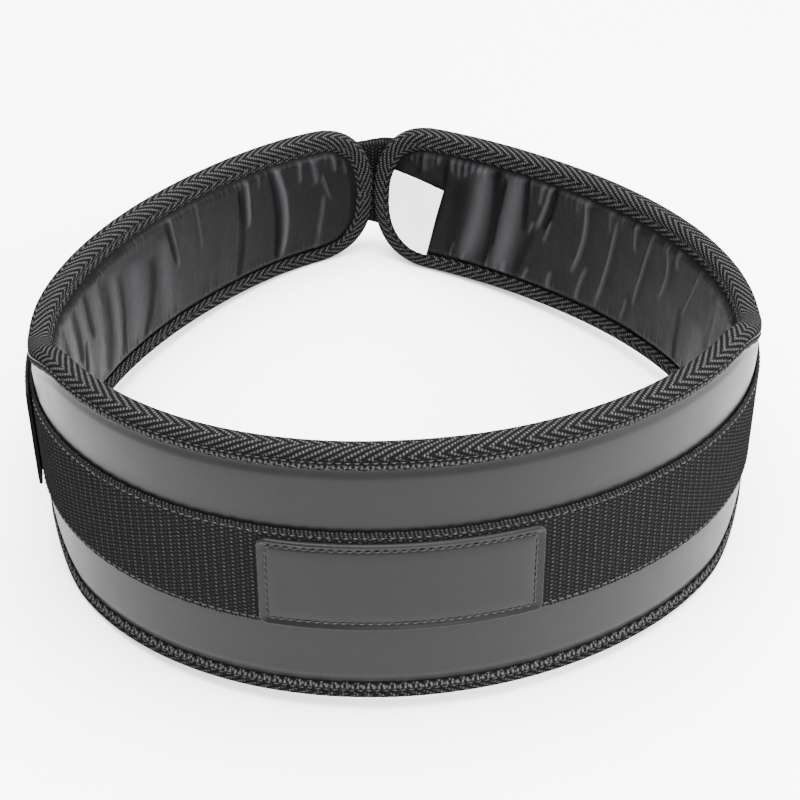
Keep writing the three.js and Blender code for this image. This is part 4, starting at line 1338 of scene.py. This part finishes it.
def closure_course():
    """From the left end out to the loop's near bar, round it, and back over the left side."""
    near_tip = HALF_LENGTH - STRAP_TIP_MARGIN
    leave = near_tip - STRAP_LEAVE_LENGTH
    sewn_end = HALF_LENGTH - STRAP_SEWN_LENGTH
    settled = sewn_end - STRAP_STEP_DOWN
    free_end = HALF_LENGTH - STRAP_RETURN_LENGTH
    bar_face = LOOP_BAR_REACH + TURN_RADIUS
    over = LOOP_OUT + TURN_RADIUS
    step_down = even_places(-sewn_end, -settled, 4)
    stepped = STRAP_OVER + (STRAP_UNDER - STRAP_OVER) * smoothstep(step_down, -sewn_end, -settled)
    back_over = even_places(-settled, -free_end, SOLID_STEP)[1:]
    lifted = STRAP_UNDER + STRAP_END_LIFT * smoothstep(back_over, -free_end - 14, -free_end)
    bridge = over + (STRAP_OVER - over) * np.array([0.25, 0.5])
    return smooth_course([
        on_band(-even_places(sewn_end, near_tip, SOLID_STEP), STRAP_UNDER),
        on_band(np.array([near_tip, leave]), STRAP_UNDER),
        on_loop(bar_face, STRAP_UNDER),
        turn_round_bar(1),
        on_loop(bar_face, over),
        on_band(np.array([leave, near_tip]), bridge),
        on_band(-near_tip, over + (STRAP_OVER - over) * 0.75),
        on_band(even_places(-leave, -sewn_end, SOLID_STEP)[:-1], STRAP_OVER),
        on_band(step_down, stepped),
        on_band(back_over, lifted),
    ], sizes().rib_pitch / MM / STRAP_RIB_STEPS)


def tab_course():
    """From under the right end's webbing, round the loop's far bar, and back onto itself."""
    free_end = LOOP_MIDDLE - LOOP_BAR_REACH - TAB_LENGTH
    rise = free_end + TAB_SEWN_LENGTH
    leave = LOOP_MIDDLE - LOOP_BAR_REACH - TURN_RADIUS - STRAP_LEAVE_LENGTH
    bar_face = -(LOOP_BAR_REACH + TURN_RADIUS)
    over = LOOP_OUT + TURN_RADIUS
    return smooth_course([
        on_band(even_places(free_end, leave, 10), STRAP_UNDER),
        on_loop(bar_face, STRAP_UNDER),
        turn_round_bar(-1),
        on_loop(bar_face, over),
        on_band((rise + leave) / 2, (STRAP_OVER + over) / 2),
        on_band(even_places(rise, free_end, 10), STRAP_OVER),
    ], sizes().rib_pitch / MM / STRAP_RIB_STEPS)


class BELT_OT_closure(bpy.types.Operator):
    """Closure strap, its tab and the wire loop that joins them"""

    bl_idname = "belt.closure"
    bl_label = "Closure"

    def execute(self, context):
        material = bpy.data.materials.get("ribbed_webbing") or BELT_OT_webbing.material()
        for name, node, course in (
            ("closure_webbing", "closure_strap", closure_course()),
            ("tab_webbing", "loop_tab", tab_course()),
        ):
            piece = add_piece(name, strap_shape(course).mesh(name + "_cloth"), material)
            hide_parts(node)
        self.add_loop()
        return {"FINISHED"}

    @staticmethod
    def add_loop():
        """Round wire bent into a rectangle: a circle carried round a path of four quarter turns."""
        half_across = STRAP_WIDTH / 2 + LOOP_SIDE_CLEARANCE + LOOP_WIRE / 2
        radius = LOOP_CORNER_RADIUS
        quarters = np.arange(4)[:, None] * math.pi / 2
        angles = (quarters + np.linspace(0, math.pi / 2, CORNER_STEPS + 1)).ravel()
        side_along = np.repeat([1, -1, -1, 1], CORNER_STEPS + 1) * (LOOP_BAR_REACH - radius)
        side_across = np.repeat([1, 1, -1, -1], CORNER_STEPS + 1) * (half_across - radius)
        round_wire = np.linspace(0, math.tau, WIRE_SIDES + 1)[:-1]
        in_plane = np.cos(round_wire) * LOOP_WIRE / 2 + radius
        origin, along_axis, across_axis, out_axis = loop_frame()
        along = side_along[:, None] + np.cos(angles)[:, None] * in_plane
        across = side_across[:, None] + np.sin(angles)[:, None] * in_plane + WEBBING_RISE
        out = LOOP_OUT + np.sin(round_wire) * LOOP_WIRE / 2 + 0 * along
        points = origin + np.stack([along, across, out], -1) @ np.stack([along_axis, across_axis, out_axis])
        shape = Shape()
        u = np.linspace(0, 1, len(angles) + 1)[:, None]
        v = np.linspace(0, 1, WIRE_SIDES + 1)
        shape.grid(stand(points), u, v, loop_rows=True, loop_columns=True)
        material = coated_wire("coated_wire", tuple(colors().wire))
        wire = add_piece("loop_wire", shape.mesh("loop_wire_body"), material)
        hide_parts("strap_loop")


# Stitches


def stitch_template():
    """One stitch: rings of a round thread along an arch that dips into the cloth at both ends,
    closed by a point at each end. Returns unit points and its faces."""
    along = np.array([-0.86, 0.0, 0.86])
    turn = np.arange(6) * math.tau / 6
    thick = np.array([0.75, 1.0, 0.75])[:, None]
    rings = np.stack([
        along[:, None] + 0 * turn,
        thick * np.cos(turn),
        thick * np.sin(turn) + 1.0 - 1.6 * along[:, None] ** 2,
    ], -1).reshape(-1, 3)
    points = np.concatenate([rings, [[-1.1, 0, -1.2], [1.1, 0, -1.2]]])
    k = np.arange(6)
    after = (k + 1) % 6
    quads = np.concatenate([np.stack([k + r, after + r, after + r + 6, k + r + 6], -1) for r in (0, 6)])
    first = np.stack([after, k, 0 * k + 18], -1)
    last = np.stack([k + 12, after + 12, 0 * k + 19], -1)
    return points, quads, np.concatenate([first, last])


def stitch_run(shape, centres, along, out, pitch):
    """Repeats the stitch at each centre, its length along one direction and its arch outwards."""
    along = along / np.linalg.norm(along, axis=1, keepdims=True)
    across = np.cross(out, along)
    across /= np.linalg.norm(across, axis=1, keepdims=True)
    out = np.cross(along, across)
    radius = sizes().thread_width / MM / 2
    template, quads, triangles = stitch_template()
    points = (
        centres[:, None]
        + template[:, :1] * (along * pitch * STITCH_SHARE)[:, None]
        + template[:, 1:2] * (across * radius)[:, None]
        + template[:, 2:3] * (out * radius)[:, None]
    )
    offsets = np.arange(len(centres))[:, None, None] * len(template)
    start = shape.count
    shape.add(points, (quads + offsets).reshape(-1, 4), np.zeros((len(centres) * len(quads), 4, 2)))
    shape.faces.append((triangles + offsets).reshape(-1, 3) + start)
    shape.cloth.append(np.zeros((len(centres) * len(triangles), 3, 2)))


def stitches_on_band(shape, s, up, out, pitch, lowest=-np.inf):
    """Stitches along a line of the band given by s and up, evenly spaced on the unrolled band."""
    travelled = np.append(0, np.cumsum(np.hypot(np.diff(s), np.diff(up))))
    count = int(travelled[-1] / pitch)
    at = (np.arange(count) + 0.5) * travelled[-1] / count

    def place(distance, height):
        line_s, line_up, line_out = (np.interp(distance, travelled, row) for row in (s, up, out + 0 * s))
        return on_floor(line_s, line_out + height, line_up, lowest)

    along = place(at + 0.4, 0) - place(at - 0.4, 0)
    outwards = place(at, 0.5) - place(at, -0.5)
    stitch_run(shape, place(at, 0), along, outwards, pitch)


class BELT_OT_stitches(bpy.types.Operator):
    """Rows of stitches along the tape, the webbing, the patch and the straps"""

    bl_idname = "belt.stitches"
    bl_label = "Stitches"

    def execute(self, context):
        pitch = sizes().stitch_pitch / MM
        material = thread("sewing_thread", tuple(colors().thread))
        for name, build in (
            ("tape_stitches", self.tape),
            ("webbing_stitches", self.webbing),
            ("patch_stitches", self.patch),
            ("strap_stitches", self.straps),
        ):
            shape = Shape()
            build(shape, pitch)
            add_piece(name, shape.mesh(name + "_thread"), material)
        return {"FINISHED"}

    @staticmethod
    def tape(shape, pitch):
        outline = full_outline(SEAM_STEP, TAPE_END_STEPS)
        outline = np.concatenate([outline, outline[:1]])
        s, up, normal_s, normal_up = outline.T
        depth = TAPE_FACE - sizes().seam_depth / MM * 0.8
        for side in (1, -1):
            line_s, line_up = s - normal_s * TAPE_SEAM_INSET, up - normal_up * TAPE_SEAM_INSET
            stitches_on_band(shape, line_s, line_up, side * depth, pitch, TAPE_THICKNESS)

    @staticmethod
    def webbing(shape, pitch):
        s = even_places(-WEBBING_REACH + END_MARGIN, WEBBING_REACH - END_MARGIN, SEAM_STEP)
        for side in (1, -1):
            up = side * (WEBBING_WIDTH / 2 - WEBBING_SEAM) + WEBBING_RISE + 0 * s
            stitches_on_band(shape, s, up, WEBBING_FACE - STITCH_DEPTH, pitch)

    @staticmethod
    def patch(shape, pitch):
        """A rounded rectangle inside the rim."""
        inner = PATCH_CORNER_RADIUS - 1.5
        half_long, half_tall = PATCH_LENGTH / 2 - PATCH_SEAM - inner, PATCH_HEIGHT / 2 - PATCH_SEAM - inner
        angles = (np.arange(4)[:, None] * math.pi / 2 + np.linspace(0, math.pi / 2, 6)).ravel()
        s = np.repeat([1, -1, -1, 1], 6) * half_long + inner * np.cos(angles)
        up = np.repeat([1, 1, -1, -1], 6) * half_tall + inner * np.sin(angles)
        s, up = np.append(s, s[0]) + PATCH_SHIFT, np.append(up, up[0]) - PATCH_DROP
        out = WEBBING_FACE + SEWN_GAP + PATCH_THICKNESS - PATCH_STITCH_DEPTH
        stitches_on_band(shape, s, up, out, pitch)

    @staticmethod
    def straps(shape, pitch):
        half = STRAP_WIDTH / 2 - WEBBING_SEAM
        free_end = -(HALF_LENGTH - STRAP_RETURN_LENGTH) - END_MARGIN
        hook_end = 2 * END_MARGIN - (HALF_LENGTH - STRAP_SEWN_LENGTH - STRAP_STEP_DOWN)
        tab_end = LOOP_MIDDLE - LOOP_BAR_REACH - TAB_LENGTH + END_MARGIN
        tab_rise = tab_end + TAB_SEWN_LENGTH - 2 * END_MARGIN
        for middle, s, sides in (
            (STRAP_UNDER, [hook_end, free_end, free_end, hook_end, hook_end], [1, 1, -1, -1, 1]),
            (STRAP_OVER, [tab_end, tab_rise, tab_rise, tab_end, tab_end, tab_rise], [1, 1, -1, -1, 1, -1]),
            (STRAP_OVER, [tab_end, tab_rise], [-1, 1]),
        ):
            dense_s, dense_up = refine(np.array(s), half * np.array(sides) + WEBBING_RISE)
            stitches_on_band(shape, dense_s, dense_up, middle + STRAP_THICKNESS / 2 - STITCH_DEPTH, pitch)


def refine(s, up):
    """The same line of corners with a place about every millimetre."""
    travelled = np.append(0, np.cumsum(np.hypot(np.diff(s), np.diff(up))))
    at = np.union1d(even_places(0, travelled[-1], 1), travelled)
    return np.interp(at, travelled, s), np.interp(at, travelled, up)


# Stage

CAMERA_TARGET = (0.0021, -0.0410, 0.0600)
CAMERA_DISTANCE = 0.9108
CAMERA_AZIMUTH = -2.339
CAMERA_ELEVATION = 40.524
CAMERA_ROLL = 0.478
CAMERA_LENS = 90
FLOOR_SIZE = 12
FLOOR_DROP = 0.0002


class BELT_OT_stage(bpy.types.Operator):
    """Pale floor, soft lights and the camera"""

    bl_idname = "belt.stage"
    bl_label = "Stage"

    def execute(self, context):
        self.add_floor()
        stage = context.scene.belt_stage
        for name, power, size, place in (
            ("top_light", stage.top_light, 1.6, (0, 0.1, 1.9)),
            ("left_light", stage.left_light, 1.3, (-1.5, -0.2, 0.7)),
            ("right_light", stage.right_light, 1.3, (1.5, -0.2, 0.7)),
            ("back_light", stage.back_light, 1.2, (0.2, 1.7, 1.0)),
            ("front_light", stage.front_light, 1.0, (0.4, -1.6, 1.2)),
        ):
            self.add_light(name, power, size, place)
        world = bpy.data.worlds.new("studio")
        context.scene.world = world
        world.use_nodes = True
        background = world.node_tree.nodes["Background"]
        background.inputs["Color"].default_value = (1, 1, 1, 1)
        background.inputs["Strength"].default_value = stage.sky
        self.add_camera()
        return {"FINISHED"}

    @staticmethod
    def add_floor():
        half = FLOOR_SIZE / 2
        mesh = bpy.data.meshes.new("floor")
        corners = [(-half, -half), (half, -half), (half, half), (-half, half)]
        mesh.from_pydata([(x, y, -FLOOR_DROP) for x, y in corners], [], [(0, 1, 2, 3)])
        floor = bpy.data.objects.new("floor", mesh)
        bpy.context.scene.collection.objects.link(floor)
        mesh.materials.append(
            Finish("floor", tuple(bpy.context.scene.belt_stage.floor), 0.6, Specular_IOR_Level=0.2).material
        )

    @staticmethod
    def add_light(name, power, size, place):
        light = bpy.data.lights.new(name, "AREA")
        light.energy = power
        light.size = size
        lamp = bpy.data.objects.new(name, light)
        lamp.location = place
        lamp.rotation_euler = (Vector((0, 0, 0.05)) - Vector(place)).to_track_quat("-Z", "Y").to_euler()
        bpy.context.scene.collection.objects.link(lamp)

    @staticmethod
    def add_camera():
        azimuth, elevation = math.radians(CAMERA_AZIMUTH), math.radians(CAMERA_ELEVATION)
        back = Vector((
            math.sin(azimuth) * math.cos(elevation),
            -math.cos(azimuth) * math.cos(elevation),
            math.sin(elevation),
        ))
        data = bpy.data.cameras.new("camera")
        data.lens = CAMERA_LENS
        camera = bpy.data.objects.new("camera", data)
        place = Vector(CAMERA_TARGET) + back * CAMERA_DISTANCE
        turn = (-back).to_track_quat("-Z", "Y").to_matrix().to_4x4()
        roll = Matrix.Rotation(math.radians(CAMERA_ROLL), 4, "Z")
        camera.matrix_world = Matrix.Translation(place) @ turn @ roll
        bpy.context.scene.collection.objects.link(camera)
        bpy.context.scene.camera = camera


# Panel and registration

PIECE_OPERATORS = (
    BELT_OT_cover,
    BELT_OT_lining,
    BELT_OT_binding,
    BELT_OT_webbing,
    BELT_OT_patch,
    BELT_OT_label,
    BELT_OT_closure,
    BELT_OT_stitches,
    BELT_OT_stage,
)


class BELT_PT_panel(bpy.types.Panel):
    """Lists the belt's pieces, sizes and colours"""

    bl_idname = "BELT_PT_panel"
    bl_label = "Weightlifting Belt"
    bl_space_type = "VIEW_3D"
    bl_region_type = "UI"
    bl_category = "Belt"

    def draw(self, context):
        layout = self.layout
        for operator in PIECE_OPERATORS:
            layout.operator(operator.bl_idname)
        for group in (context.scene.belt_sizes, context.scene.belt_colors, context.scene.belt_stage):
            box = layout.box()
            for name in group.__annotations__:
                box.prop(group, name)


SETTINGS = {"belt_sizes": BeltSizes, "belt_colors": BeltColors, "belt_stage": BeltStage}
CLASSES = (*SETTINGS.values(), *PIECE_OPERATORS, BELT_PT_panel)


def register():
    for cls in CLASSES:
        bpy.utils.register_class(cls)
    for name, group in SETTINGS.items():
        setattr(bpy.types.Scene, name, PointerProperty(type=group))


def unregister():
    for name in SETTINGS:
        delattr(bpy.types.Scene, name)
    for cls in reversed(CLASSES):
        bpy.utils.unregister_class(cls)


def main():
    register()
    for operator in PIECE_OPERATORS:
        category, name = operator.bl_idname.split(".")
        getattr(getattr(bpy.ops, category), name)()


if __name__ == "__main__":
    main()
